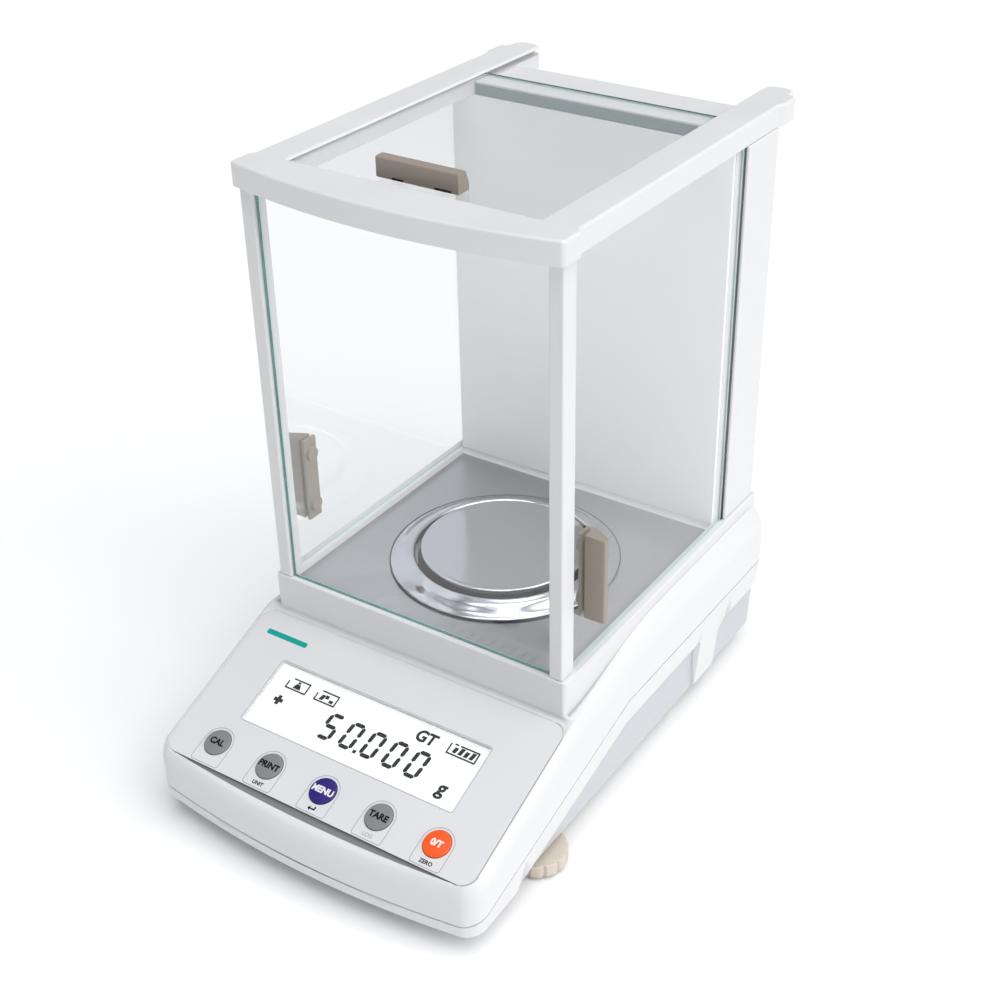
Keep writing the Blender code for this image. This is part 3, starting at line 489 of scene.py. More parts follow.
def door_grooves(name, low, high):
    """Cutters of the two slots that the side panes slide in, from one height to another."""
    grooves = []
    for side in (-1, 1):
        near, far = sorted((side * (DOOR_X + DOOR_PLAY), side * (DOOR_X - GLASS_THICKNESS - DOOR_PLAY)))
        grooves.append(plan_block(f"{name} {side}", (near, DOOR_FRONT_Y - GAP, low), (far, BEYOND, high)))
    return grooves


casing_wall = carried(base_outline(), casing_profile(0.0, 0.0, 0.0, 0.0004))
upper_casing = skin("upper_casing", casing_wall, [white_abs], "ladder")
plinth = plan_block("plinth", (-PLINTH_HALF_WIDTH, PLINTH_FRONT_Y, 0.075),
                    (PLINTH_HALF_WIDTH, PLINTH_REAR_Y, LEDGE_Z), [white_abs], PLINTH_CORNER, PLINTH_RIM)
carve(upper_casing, [plinth], "UNION")
hollow_wall = carried(base_outline(), casing_profile(CASE_WALL, CASE_WALL, 0.02, 0.0))
plinth_inner = PLINTH_HALF_WIDTH - CASE_WALL
floor_front_y, floor_rear_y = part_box("floor_plate")[0].y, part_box("floor_plate")[1].y
inlet_low, inlet_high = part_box("power_inlet")
inlet_x, _, inlet_z = middle("power_inlet")
port_low, port_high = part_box("data_port")
cutters = [
    skin("casing hollow", hollow_wall, ends="ladder"),
    plan_block("plinth hollow", (-plinth_inner, PLINTH_FRONT_Y + CASE_WALL, PLINTH_HOLLOW_Z[0]),
               (plinth_inner, PLINTH_REAR_Y - CASE_WALL, PLINTH_HOLLOW_Z[1])),
    plan_block("floor pocket", (-FLOOR_HALF_WIDTH - GAP, floor_front_y - GAP, FLOOR_UNDER_Z - GAP),
               (FLOOR_HALF_WIDTH + GAP, floor_rear_y + GAP, POST_HOLE_Z[1])),
    block("post hole", disc_outline(0, PAN_Y, POST_HOLE_RADIUS), *POST_HOLE_Z),
    console_block("film pocket", film_outline(GAP), -FILM_THICKNESS - GAP, CUT),
    console_block("lip slot", slot_outline(), -SLOT_DEPTH, CUT),
    console_block("window hole", window_outline(GAP), -CUT, CUT),
    block("inlet hole", disc_outline(inlet_z, inlet_x, INLET_HOLE_RADIUS, 32), *REAR_WALL_Y, place=BACKWARDS),
    plan_block("port hole", (port_low.x - GAP, PORT_HOLE_Y, port_low.z - GAP),
               (port_high.x + GAP, REAR_WALL_Y[1], port_high.z + GAP)),
    *door_grooves("door groove", LEDGE_Z - LEDGE_GROOVE, POST_HOLE_Z[1]),
    *(console_block(f"hole {name}", disc_outline(x, KEY_ROW, KEY_RADIUS + GAP), -CUT, CUT)
      for name, x in key_places()),
]
carve(upper_casing, cutters)
belongs(upper_casing, "base", "top_casing")


# ------------------------------------------------------------------ inside the base
# A die-cast aluminium plate carries the force cell, its magnet pot and the main circuit board. Four long
# steel screws come up through the tray into the upper casing.


def dress(node, material):
    """Gives a CAD node its finish and keeps its shape."""
    mesh = PIECES[node].data
    mesh.materials.clear()
    mesh.materials.append(material)


def cast_metal(name, colour, roughness):
    """Die-cast aluminium: metallic and matt, with the fine pebble of the die and patches of darker oxide."""
    material, shader = finish_material(name, [("Metallic", 1.0)])
    pebble = add_noise(material, 1400.0, 4.0)
    oxide = add_noise(material, 60.0, 6.0)
    return textured(material, shader, (darker(colour, 0.2), srgb(colour), oxide),
                    (roughness - 0.1, roughness + 0.12, 0.0, 1.0, oxide), (0.5, 0.00004, pebble))


def turned_steel(name, colour, roughness, groove_mm=0.35, relief_mm=0.004, streak=0.10):
    """Steel turned or polished on a lathe about the pan's axis: grooves are noise of the distance from it, so
    fine rings stretch each highlight towards the middle; cloudy noise is the wiped, handled film."""
    material, shader = finish_material(name, [("Metallic", 1.0)])
    place = add_node(material, "ShaderNodeTexCoord")
    centred = add_node(material, "ShaderNodeMapping",
                       [("Location", (0.0, -PAN_Y, 0.0)), ("Scale", (1, 1, 0))],
                       [("Vector", place, "Object")])
    radius = add_node(material, "ShaderNodeVectorMath", [("operation", "LENGTH")], [(0, centred, "Vector")])
    rings = add_node(material, "ShaderNodeTexNoise",
                     [("noise_dimensions", "1D"), ("Scale", 1000 / groove_mm), ("Detail", 5.0),
                      ("Roughness", 0.7)], [("W", radius, "Value")])
    film = add_noise(material, 22.0, 5.0)
    return textured(material, shader, (darker(colour, streak), srgb(colour), rings),
                    (roughness * 0.8, roughness * 1.4, 0.3, 0.7, film), (0.25, relief_mm / 1000, rings))


def circuit_laminate(name, mask, copper):
    """Glass-epoxy laminate under a glossy green solder mask: tracks show as paler raised lines where a
    square-cell pattern keeps them, and the mask is a little uneven."""
    material, shader = finish_material(name, [("IOR", 1.5), ("Coat Weight", 0.3), ("Coat Roughness", 0.15)])
    place = add_node(material, "ShaderNodeTexCoord")
    cells = add_node(material, "ShaderNodeTexVoronoi", [("distance", "MANHATTAN"), ("Scale", 190.0)],
                     [("Vector", place, "Object")])
    lines = add_node(material, "ShaderNodeTexWave", [("Scale", 120.0), ("Distortion", 6.0), ("Detail", 0.0)],
                     [("Vector", place, "Object")])
    edge = add_node(material, "ShaderNodeMapRange", [("From Min", 0.78), ("From Max", 0.84)],
                    [("Value", lines, "Fac")])
    kept = add_node(material, "ShaderNodeMath", [("operation", "MULTIPLY")],
                    [(0, edge, "Result"), (1, cells, "Distance")])
    return textured(material, shader, (srgb(mask), srgb(copper), kept), (0.25, 0.42, 0.0, 1.0, cells),
                    (0.3, 0.00004, kept))


die_cast = cast_metal("die-cast aluminium", "#C2C4C6", 0.45)
ground_steel = turned_steel("ground steel", "#BDBDBD", 0.24)
solder_mask = circuit_laminate("green solder mask", "#0E4A26", "#3E8A4C")
for node in ("chassis_plate", "force_cell"):
    dress(node, die_cast)
for node in ("main_board", "display_board"):
    dress(node, solder_mask)
for node in ("magnet_pot", "pan_carrier", "data_port", *(n for n in PIECES if n.startswith("base_screw"))):
    dress(node, ground_steel)


# ------------------------------------------------------------------ chamber floor, pan and draught ring
# A brushed stainless plate lines the chamber. The pressed and polished pan drops onto the carrier's cone, and
# a polished ring lies loose round it to keep draughts from under its rim.

PAN_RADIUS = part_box("weighing_pan")[1].x
PAN_TOP_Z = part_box("weighing_pan")[1].z
RING_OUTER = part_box("draught_ring")[1].x
RING_INNER = 0.0505
RING_LOW_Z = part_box("draught_ring")[0].z
RING_HIGH_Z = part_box("draught_ring")[1].z
# Sizes of the two black hoops of painted shade beside the ring and under the pan.
OUTER_GAP_WIDTH = 0.0007
PAN_GAP_LOW_Z = 0.09965
PAN_GAP_HIGH_Z = 0.1003
PAN_GAP_INNER = 0.0172
PAN_GAP_OUTER = 0.0492


def brushed_steel(name, colour, roughness):
    """Stainless sheet brushed along X: strokes are noise drawn out along X, a fraction of a millimetre across
    and a few centimetres long, and broad faint clouds are where the sheet was wiped."""
    material, shader = finish_material(name, [("Metallic", 1.0), ("Anisotropic", 0.5)])
    place = add_node(material, "ShaderNodeTexCoord")
    drawn = add_node(material, "ShaderNodeMapping", [("Scale", (9.0, 5000.0, 5000.0))],
                     [("Vector", place, "Object")])
    strokes = add_noise(material, 1.0, 4.0, 0.65, (drawn, "Vector"))
    clouds = add_noise(material, 18.0, 3.0)
    both = add_node(material, "ShaderNodeMath", [("operation", "MULTIPLY")],
                    [(0, strokes, "Fac"), (1, clouds, "Fac")])
    return textured(material, shader, (darker(colour, 0.16), srgb(colour), clouds),
                    (roughness - 0.05, roughness + 0.06, 0.15, 0.4, both), (0.12, 0.00001, strokes))


def turned_piece(name, x, y, profile, material, steps, ends="face", place=None):
    """A solid turned about an upright axis: a profile of (radius, height) pairs carried round a circle."""
    widest = max(radius for radius, height in profile)
    grid = carried(disc_outline(x, y, widest, steps),
                   [(widest - radius, height) for radius, height in profile], place)
    return skin(name, grid, [material], ends)


def quarter_round(radius, height, size, start, stop, steps):
    """Profile points round a rim of that size whose centre is (radius, height), between angles in degrees."""
    t = np.radians(np.linspace(start, stop, steps))
    return list(zip(radius + size * np.cos(t), height + size * np.sin(t)))


dress("floor_plate", brushed_steel("brushed stainless sheet", "#A9A9AB", 0.34))

pan_profile = [(0.0015, 0.1064), (0.0038, 0.1063), (0.0048, 0.1018), (0.0120, 0.1018), (0.0120, 0.1081),
               (PAN_RADIUS - 0.0014, 0.1081), (PAN_RADIUS - 0.0012, 0.1062), (PAN_RADIUS - 0.0006, 0.1061),
               *quarter_round(PAN_RADIUS - 0.0009, PAN_TOP_Z - 0.0009, 0.0009, 0, 90, 7),
               (PAN_RADIUS - 0.0022, PAN_TOP_Z - 0.00005), (PAN_RADIUS - 0.0034, PAN_TOP_Z - 0.0003),
               (PAN_RADIUS * 0.6, PAN_TOP_Z - 0.0003), (0.002, PAN_TOP_Z - 0.0003)]
pan_finish = turned_steel("polished pan steel", "#B9B9BC", 0.10, 0.6, 0.002, 0.06)
pan = turned_piece("pan", 0, PAN_Y, pan_profile, pan_finish, 128)
belongs(pan, "weighing_pan", "weighing_pan")

share = np.linspace(0, 1, 12)
slope_radius = RING_OUTER - 0.0006 - (RING_OUTER - 0.0006 - RING_INNER - 0.0036) * share
slope_height = RING_LOW_Z + 0.0010 + 0.0042 * (0.35 * share + 0.65 * smooth_step(share, 0, 1))
ring_profile = [(RING_OUTER - 0.0030, RING_LOW_Z), (RING_OUTER, RING_LOW_Z),
                (RING_OUTER, RING_LOW_Z + 0.0006), *zip(slope_radius, slope_height),
                *quarter_round(RING_INNER + 0.0018, RING_HIGH_Z - 0.0018, 0.0018, 70, 170, 7),
                (RING_INNER, RING_LOW_Z), (RING_INNER + 0.0009, RING_LOW_Z),
                (RING_INNER + 0.0010, RING_HIGH_Z - 0.0020), (RING_INNER + 0.0030, RING_HIGH_Z - 0.0014)]
ring_finish = turned_steel("polished ring steel", "#B4B4B8", 0.09, 0.9, 0.002, 0.05)
ring = turned_piece("draught_shield_ring", 0, PAN_Y, ring_profile, ring_finish, 128, "hoop")
belongs(ring, "draught_ring", "draught_ring")

# Two black hoops are painted shade: one just outside the ring darkens the line where it meets the floor, and
# one on the floor under the pan darkens the gap between pan and ring.
black_gap_fill = moulded_plastic("black fill of dark gaps", "#17181A", 0.6, 0.4, 0.01, 0.1)
gap_inner, gap_low = RING_OUTER + 0.00005, RING_LOW_Z + 0.00002
outer_gap_shade = turned_piece("ring_outer_gap_shade", 0, PAN_Y, [(gap_inner, gap_low), (gap_inner + OUTER_GAP_WIDTH, gap_low),
                                            (gap_inner + OUTER_GAP_WIDTH, gap_low + OUTER_GAP_WIDTH),
                                            (gap_inner, gap_low + OUTER_GAP_WIDTH)], black_gap_fill, 128, "hoop")
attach(outer_gap_shade, "draught_ring")
pan_gap_shade_profile = [(PAN_GAP_OUTER, PAN_GAP_HIGH_Z), (PAN_GAP_INNER, PAN_GAP_HIGH_Z), (PAN_GAP_INNER, PAN_GAP_LOW_Z),
                 (PAN_GAP_OUTER, PAN_GAP_LOW_Z)]
pan_gap_shade = turned_piece("pan_gap_shade_disc", 0, PAN_Y, pan_gap_shade_profile, black_gap_fill, 96, "hoop")
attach(pan_gap_shade, "base")


# ------------------------------------------------------------------ console: film, display and keys
# A printed polyester film lies in the casing's pocket. It is cut out round the display's clear window and the
# five round key caps, each of which stands on a dome switch. Outlines and words are screen-printed on it.

INK = 0.00004
KEY_CROWN = 0.0003
KEY_CREST = 0.0011
LEGEND_HEIGHT = 0.0034
SECOND_LEGEND_HEIGHT = 0.0021
SECOND_LEGEND_Y = -0.0950
OUTLINE_RADIUS = 0.0091
OUTLINE_FRONT = -0.0975
OUTLINE_CORNER = 0.0016
OUTLINE_WIDTH = 0.00034
# Heights of the grey sheet of painted shade on the slot's floor.
SLOT_SHADE_HEIGHTS = (0.0002 - SLOT_DEPTH, 0.0007 - SLOT_DEPTH)
PANEL_FACE = -0.0034
FIGURE_Z = PANEL_FACE + 0.0001
DIGIT_HEIGHT = 0.0166
DIGIT_WIDTH = 0.0094
DIGIT_PITCH = 0.0142
DIGIT_FRONT = -0.0580
DIGIT_START = -0.0262
DIGIT_LEAN = 0.10
STROKE = 0.0023
TIP = STROKE * 0.12
POINT_SIZE = 0.0020
LINE = 0.0009
WEIGHT = 0.00034
READING = "50000"
POINT_AFTER = 2


def hoop_line(name, outline, width, place, material):
    """A printed line along an outline: a flat band with its own thin edges, half inside and half outside."""
    band = [(-width / 2, 0.0), (-width / 2, INK), (width / 2, INK), (width / 2, 0.0)]
    return skin(name, carried(outline, band, place), [material], "hoop")


def stamps(name, outlines, low, high, place, material):
    """Flat printed shapes as one mesh: each outline raised from low to high, as a thin closed plate."""
    vertices, faces, start = [], [], 0
    for outline in outlines:
        grid = carried(outline, [(0.0, low), (0.0, high)], place)
        count = len(grid)
        i = np.arange(count)
        ahead = (i + 1) % count
        faces += (start + np.stack([2 * i, 2 * ahead, 2 * ahead + 1, 2 * i + 1], axis=1)).tolist()
        faces += [(start + 2 * i[::-1]).tolist(), (start + 2 * i + 1).tolist()]
        vertices += grid.reshape(-1, 3).tolist()
        start += 2 * count
    return add_mesh(name, vertices, faces, [material])


def lettering(name, words, height, at, material, lean, weight, crown=None):
    """Words printed on the console in a plain built-in face, centred at a point of its plan, as a thin mesh.
    Where crown is given, it lifts each point by its distance from the centre, so the print follows a cap."""
    curve = bpy.data.curves.new(name, "FONT")
    curve.body = words
    curve.size = height / 0.70
    curve.align_x, curve.align_y = "CENTER", "CENTER"
    curve.shear = lean
    curve.offset = weight
    curve.extrude = INK / 2
    text = bpy.data.objects.new(name, curve)
    bpy.context.scene.collection.objects.link(text)
    shape = bpy.data.meshes.new_from_object(text.evaluated_get(bpy.context.evaluated_depsgraph_get()))
    bpy.data.objects.remove(text)
    points = np.zeros(len(shape.vertices) * 3, np.float32)
    shape.vertices.foreach_get("co", points)
    points = points.reshape(-1, 3)
    if crown:
        points[:, 2] += crown(np.hypot(points[:, 0], points[:, 1]))
    points[:, 2] += at[2] + INK / 2
    points[:, :2] += at[:2]
    turn = np.array(CONSOLE_PLACE)
    points = points @ turn[:3, :3].T + turn[:3, 3]
    shape.vertices.foreach_set("co", points.astype(np.float32).ravel())
    shape.update()
    shape.materials.clear()
    shape.materials.append(material)
    made = bpy.data.objects.new(name, shape)
    bpy.context.scene.collection.objects.link(made)
    return made


def printing_ink(name, colour, roughness=0.7):
    """Screen-printing ink: a matt film of even colour with a faint mesh pattern 0.25 mm apart and soft wear,
    that hardly shines."""
    ink = moulded_plastic(name, colour, roughness, grain_mm=0.25, relief_mm=0.003, shade=0.08)
    ink.node_tree.nodes["Principled BSDF"].inputs["Specular IOR Level"].default_value = 0.12
    return ink


def seven_segments(digit, left):
    """Outlines of a digit's lit segments: each is a bar with pointed ends between two corners of a 1 by 2
    lattice, leaning by a share of its height."""
    ends = {"a": ((0, 2), (1, 2)), "b": ((1, 2), (1, 1)), "c": ((1, 1), (1, 0)), "d": ((0, 0), (1, 0)),
            "e": ((0, 1), (0, 0)), "f": ((0, 2), (0, 1)), "g": ((0, 1), (1, 1))}
    cell = [DIGIT_WIDTH - STROKE, (DIGIT_HEIGHT - STROKE) / 2]
    made = []
    for segment in {"0": "abcdef", "5": "afgcd"}[digit]:
        corners = np.array(ends[segment], float) * cell + STROKE / 2
        along = corners[1] - corners[0]
        along /= np.linalg.norm(along)
        across = np.array([-along[1], along[0]]) * STROKE / 2
        taper = along * STROKE * 0.45
        start, stop = corners[0] + along * TIP, corners[1] - along * TIP
        bar = [start, start + taper - across, stop - taper - across, stop, stop - taper + across,
               start + taper + across]
        made.append(rounded_polygon([(left + x + DIGIT_LEAN * y, DIGIT_FRONT + y, 0) for x, y in bar]))
    return made


def rectangle(x, y, width, height, lean=0.0):
    """Outline of a small rectangle from its lower left corner, leaning if asked."""
    return rounded_polygon([(x, y, 0), (x + width, y, 0), (x + width + lean * height, y + height, 0),
                            (x + lean * height, y + height, 0)])


film_white = moulded_plastic("satin polyester film", "#E1E1E3", 0.34, 0.8, 0.004, 0.02)
film = console_block("keypad_film", film_outline(-0.0002), -FILM_THICKNESS, 0.0, [film_white])
film_holes = [console_block("film window", window_outline(GAP, 0.0012), -CUT / 2, CUT / 2)]
film_holes += [console_block(f"film {name}", disc_outline(x, KEY_ROW, KEY_RADIUS + GAP, 64),
                             -CUT / 2, CUT / 2) for name, x in key_places()]
carve(film, film_holes)
# A grey sheet on the floor of the crescent slot in front of the film is painted shade: it makes the shallow
# slot read as a dark shadow gap.
slot_shade_grey = moulded_plastic("grey painted slot shade", "#808084", 0.7, 0.5, 0.03, 0.1)
slot_shade = stamps("slot_shade_sheet", [slot_outline()], *SLOT_SHADE_HEIGHTS, CONSOLE_PLACE, slot_shade_grey)
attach(slot_shade, "base")
belongs(film, "base", "console_film")

grey_ink = printing_ink("grey printing ink", "#A5A5AC")
# Black ink prints the legends and marks and also paints the shade in the data socket's holes.
black_ink_and_hole_shade = printing_ink("black print ink and painted hole shade", "#141416")
# Pale ink prints the LOG legend and also paints the shade line round the display window.
pale_ink_and_edge_shade = printing_ink("pale print ink and painted edge shade", "#BDBDC2")
white_ink = printing_ink("white printing ink", "#F4F4F4")
teal_ink = printing_ink("teal printing ink", "#12A79B")
for name, x in key_places():
    r = OUTLINE_RADIUS
    shield = rounded_polygon([(x - r, OUTLINE_FRONT, OUTLINE_CORNER), (x + r, OUTLINE_FRONT, OUTLINE_CORNER),
                              (x + r, KEY_ROW + r, r * 0.999), (x - r, KEY_ROW + r, r * 0.999)], 14)
    line = hoop_line(f"{name}_outline", shield, OUTLINE_WIDTH, CONSOLE_PLACE, grey_ink)
    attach(line, "base")
accent_plan = rounded_box(-0.0905, -0.0150, -0.0625, -0.0118, 0.001)
accent = stamps("accent_bar", [accent_plan], 0.0, INK, CONSOLE_PLACE, teal_ink)
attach(accent, "base")


def clear_plastic(name, colour, roughness, ior):
    """Clear sheet: it refracts at its IOR, light for the things behind it goes straight through, and finger
    marks a centimetre or two across dull the surface a little."""
    material, shader = finish_material(name, [("IOR", ior), ("Transmission Weight", 1.0),
                                              ("Base Color", srgb(colour))])
    marks = add_noise(material, 55.0, 5.0, 0.6)
    textured(material, shader, gloss=(roughness, roughness + 0.03, 0.45, 0.75, marks))
    straight = add_node(material, "ShaderNodeBsdfTransparent", [("Color", srgb(colour))])
    path = add_node(material, "ShaderNodeLightPath")
    soft = add_node(material, "ShaderNodeMath", [("operation", "MAXIMUM")],
                    [(0, path, "Is Shadow Ray"), (1, path, "Is Diffuse Ray")])
    mixed = add_node(material, "ShaderNodeMixShader", [],
                     [(0, soft, "Value"), (1, shader, "BSDF"), (2, straight, "BSDF")])
    output = material.node_tree.nodes["Material Output"]
    material.node_tree.links.new(mixed.outputs[0], output.inputs["Surface"])
    return material


clear_acrylic = clear_plastic("clear acrylic", "#FAFBFB", 0.0, 1.49)
clear_acrylic.node_tree.nodes["Principled BSDF"].inputs["Specular IOR Level"].default_value = 0.2
window = console_block("clear_window", window_outline(0.0, 0.001), -0.0024, -0.0008, [clear_acrylic], 0.0003)
belongs(window, "base", "display_window")

# The display's glow is partly its backlight and partly painted light that lifts the panel out of the shade
# under the window.
display_glow, display_shader = finish_material("display glass with painted glow", [
    ("Roughness", 0.22), ("IOR", 1.52), ("Emission Color", srgb("#F2F4F3")), ("Emission Strength", 0.46)])
textured(display_glow, display_shader, (srgb("#E4E6E5"), srgb("#F0F1F0"), add_noise(display_glow, 16.0)))
dress("lcd_panel", display_glow)

# A pale grey line round the window on the film is painted shade: it stands for the shaded edge of the
# window's recess.
window_edge_shade = hoop_line("window_edge_shade", window_outline(0.0008, 0.0018), 0.0005, CONSOLE_PLACE, pale_ink_and_edge_shade)
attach(window_edge_shade, "base")
segment_ink = printing_ink("dark liquid crystal", "#08090A", 0.9)
figures = [bar for k, digit in enumerate(READING)
           for bar in seven_segments(digit, DIGIT_START + k * DIGIT_PITCH)]
point_x = DIGIT_START + POINT_AFTER * DIGIT_PITCH - (DIGIT_PITCH - DIGIT_WIDTH) / 2 - 0.0007
figures.append(rectangle(point_x, DIGIT_FRONT, POINT_SIZE, POINT_SIZE, DIGIT_LEAN))
plus_x, plus_y, arm, half = -0.0585, -0.0475, 0.0029, 0.0011
figures.append(rounded_polygon([(plus_x + a * s, plus_y + b * t, 0) for a, b, s, t in (
    (half, half, -1, -1), (half, arm, -1, -1), (half, arm, 1, -1), (half, half, 1, -1), (arm, half, 1, -1),
    (arm, half, 1, 1), (half, half, 1, 1), (half, arm, 1, 1), (half, arm, -1, 1), (half, half, -1, 1),
    (arm, half, -1, 1), (arm, half, -1, -1))]))
figures += [rectangle(0.0490 + bar * 0.0035, -0.0360, 0.0023, 0.0034 + 0.0008 * (bar % 2), 0.2)
            for bar in range(4)]
figures += [rectangle(0.0460, -0.0376, LINE, 0.0066), rectangle(0.0460, -0.0376, 0.0182, LINE),
            rectangle(0.0633, -0.0376, LINE, 0.0066), rectangle(0.0485, -0.0315, 0.0024, LINE),
            rectangle(0.0519, -0.0315, 0.0123, LINE)]
for left in (-0.0604, -0.0405):
    figures += [rectangle(left, -0.0394, 0.0142, LINE), rectangle(left, -0.0394, LINE, 0.0048),
                rectangle(left + 0.0133, -0.0394, LINE, 0.0072),
                rectangle(left + 0.0026, -0.0331, 0.0116, LINE)]
figures += [rounded_polygon([(-0.0558, -0.0380, 0), (-0.0506, -0.0380, 0), (-0.0518, -0.0350, 0),
                             (-0.0546, -0.0350, 0)]),
            rectangle(-0.0541, -0.0347, 0.0018, 0.0012), rectangle(-0.0376, -0.0380, 0.0024, 0.0034, 0.3),
            rectangle(-0.0342, -0.0364, 0.0022, 0.0022), rectangle(-0.0310, -0.0380, 0.0026, 0.0018)]
reading = stamps("display_figures", figures, FIGURE_Z, FIGURE_Z + INK, CONSOLE_PLACE, segment_ink)
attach(reading, "base")
for name, words, height, x, y in (("display_unit", "g", 0.0078, 0.0560, -0.0560),
                                  ("display_total", "GT", 0.0064, 0.0318, -0.0345)):
    letters = lettering(name, words, height, (x, y, FIGURE_Z), segment_ink, DIGIT_LEAN, WEIGHT)
    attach(letters, "base")

grey_cap = moulded_plastic("grey key cap", "#87878B", 0.42, 0.4, 0.006, 0.05)
violet_cap = moulded_plastic("violet key cap", "#2A0F78", 0.40, 0.4, 0.006, 0.05)
orange_cap = moulded_plastic("orange key cap", "#FF5A05", 0.40, 0.4, 0.006, 0.05)


def key_crown(distance):
    """Height of a key cap's face: KEY_CROWN falls with the square of the distance from its middle."""
    return KEY_CREST - KEY_CROWN * (distance / KEY_RADIUS) ** 2


crown_radii = np.linspace(KEY_RADIUS - 0.0006, 0.0006, 7)
cap_profile = [(0.0030, -0.0086), (0.0030, -0.0044), (0.0092, -0.0044), (0.0092, -0.0036),
               (KEY_RADIUS, -0.0036), (KEY_RADIUS, 0.0003),
               *quarter_round(KEY_RADIUS - 0.0006, 0.0003, 0.0006, 10, 80, 5),
               *((radius, float(key_crown(radius))) for radius in crown_radii[1:])]
key_dress = {"key_cal": (grey_cap, "grey_key", "CAL", black_ink_and_hole_shade, None, None),
             "key_print": (grey_cap, "grey_key", "PRINT", black_ink_and_hole_shade, "UNIT", black_ink_and_hole_shade),
             "key_menu": (violet_cap, "purple_key", "MENU", white_ink, None, None),
             "key_tare": (grey_cap, "grey_key", "TARE", black_ink_and_hole_shade, "LOG", pale_ink_and_edge_shade),
             "key_zero": (orange_cap, "orange_key", "0/T", white_ink, "ZERO", black_ink_and_hole_shade)}
for name, x in key_places():
    cap_look, slot_name, words, ink, second, second_ink = key_dress[name]
    cap = turned_piece(f"{name}_cap", x, KEY_ROW, cap_profile, cap_look, 64, place=CONSOLE_PLACE)
    belongs(cap, name, name)
    legend = lettering(f"{name}_legend", words, LEGEND_HEIGHT, (x, KEY_ROW, 0), ink, 0.0, 0.00022, key_crown)
    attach(legend, name)
    if second:
        under = lettering(f"{name}_second_legend", second, SECOND_LEGEND_HEIGHT, (x, SECOND_LEGEND_Y, 0),
                          second_ink, 0.0, 0.0001)
        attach(under, "base")
arrow_plan = rounded_polygon([(-0.0024, -0.0950, 0), (-0.0010, -0.0964, 0), (-0.0010, -0.0954, 0),
                              (0.0022, -0.0954, 0), (0.0022, -0.0932, 0), (0.0014, -0.0932, 0),
                              (0.0014, -0.0946, 0), (-0.0010, -0.0946, 0), (-0.0010, -0.0936, 0)])
return_arrow = stamps("key_menu_arrow", [arrow_plan], 0.0, INK, CONSOLE_PLACE, black_ink_and_hole_shade)
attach(return_arrow, "base")


# ------------------------------------------------------------------ draught shield: pillars and front pane
# Two square ABS pillars stand on the plinth's front corners and hold the fixed front pane of 3 mm float glass
# in their grooves. Its ground edges show the deep teal of glass seen along the sheet.

SHIELD_TOP_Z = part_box("roof_frame")[0].z
ARRIS = 0.0003
PANE_CORNER = 0.0005
PLACES = {"x": SIDEWAYS, "y": BACKWARDS, "z": Matrix.Identity(4)}

float_glass = clear_plastic("clear float glass", "#FDFEFE", 0.0, 1.52)


def ground_edge(name, deep, pale):
    """Ground edge of float glass: iron in the glass turns the long path along the sheet teal, and it lightens
    and darkens in streaks a few millimetres long where the wheel cut deeper."""
    material, shader = finish_material(name, [("IOR", 1.52), ("Roughness", 0.25), ("Coat Weight", 0.4)])
    streaks = add_noise(material, 42.0, 6.0, 0.6)
    grit = add_noise(material, 2500.0)
    return textured(material, shader, (srgb(deep), srgb(pale), streaks), bump=(0.4, 0.00003, grit))


teal_edge = ground_edge("teal ground glass edge", "#07635B", "#4FAAA0")
pale_edge = ground_edge("pale polished glass edge", "#B4D6D3", "#F0F8F7")


def pane(name, node, axis, body, edge_look):
    """A sheet of glass in a CAD node's own box, with a fine arris round it. Its two faces along the axis are
    clear, and every face that looks another way is a ground edge."""
    low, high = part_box(node)
    first, second, depth = {"x": (1, 2, 0), "y": (2, 0, 1), "z": (0, 1, 2)}[axis]
    plan = rounded_box(low[first], low[second], high[first], high[second], PANE_CORNER, 2)
    made = skin(name, carried(plan, slab(low[depth], high[depth], ARRIS, 1), PLACES[axis]),
                [float_glass, edge_look])
    facing = np.zeros(len(made.data.polygons) * 3, np.float32)
    made.data.polygons.foreach_get("normal", facing)
    edge = (np.abs(facing.reshape(-1, 3)[:, depth]) < 0.9).astype(np.int32)
    made.data.polygons.foreach_set("material_index", edge)
    belongs(made, body, node)


def moulding(name, node, corner, edge, material):
    """An upright block that fills a CAD node's box, with its corners and rims rounded as a moulding's are."""
    made = plan_block(name, *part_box(node), [material], corner, edge)
    belongs(made, "base", node)


for side in ("left", "right"):
    moulding(f"corner_pillar_{side}", f"front_pillar_{side}", 0.0010, 0.0003, white_abs)
pane("front_pane", "front_glass", "y", "base", teal_edge)


# ------------------------------------------------------------------ draught shield: roof frame
# One ABS moulding: a bowed crosspiece in front and two rails running back, with ears at their ends. The top
# pane slides in a groove of the rails' inner sides, the side panes in a groove underneath.

ROOF_TOP_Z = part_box("roof_frame")[1].z
ROOF_EAR_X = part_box("roof_frame")[1].x
ROOF_FRONT_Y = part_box("roof_frame")[0].y
ROOF_BOW = 0.0116
ROOF_HALF_WIDTH = 0.093
RAIL_INNER_X = 0.0727
CROSSPIECE_REAR_Y = -0.0551
EAR_REAR_Y = 0.1465
ROOF_REAR_Y = 0.1655
ROOF_TAIL_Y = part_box("roof_frame")[1].y
ROOF_TAIL_X = 0.0905
ROOF_RIM = 0.0016
# Size of the band of painted shade on the rear cover.
SHADE_BAND_THICKNESS = 0.0005
SHADE_BAND_INSET_X = 0.001
SHADE_BAND_ABOVE = 0.0003
SHADE_BAND_BELOW = 0.0012


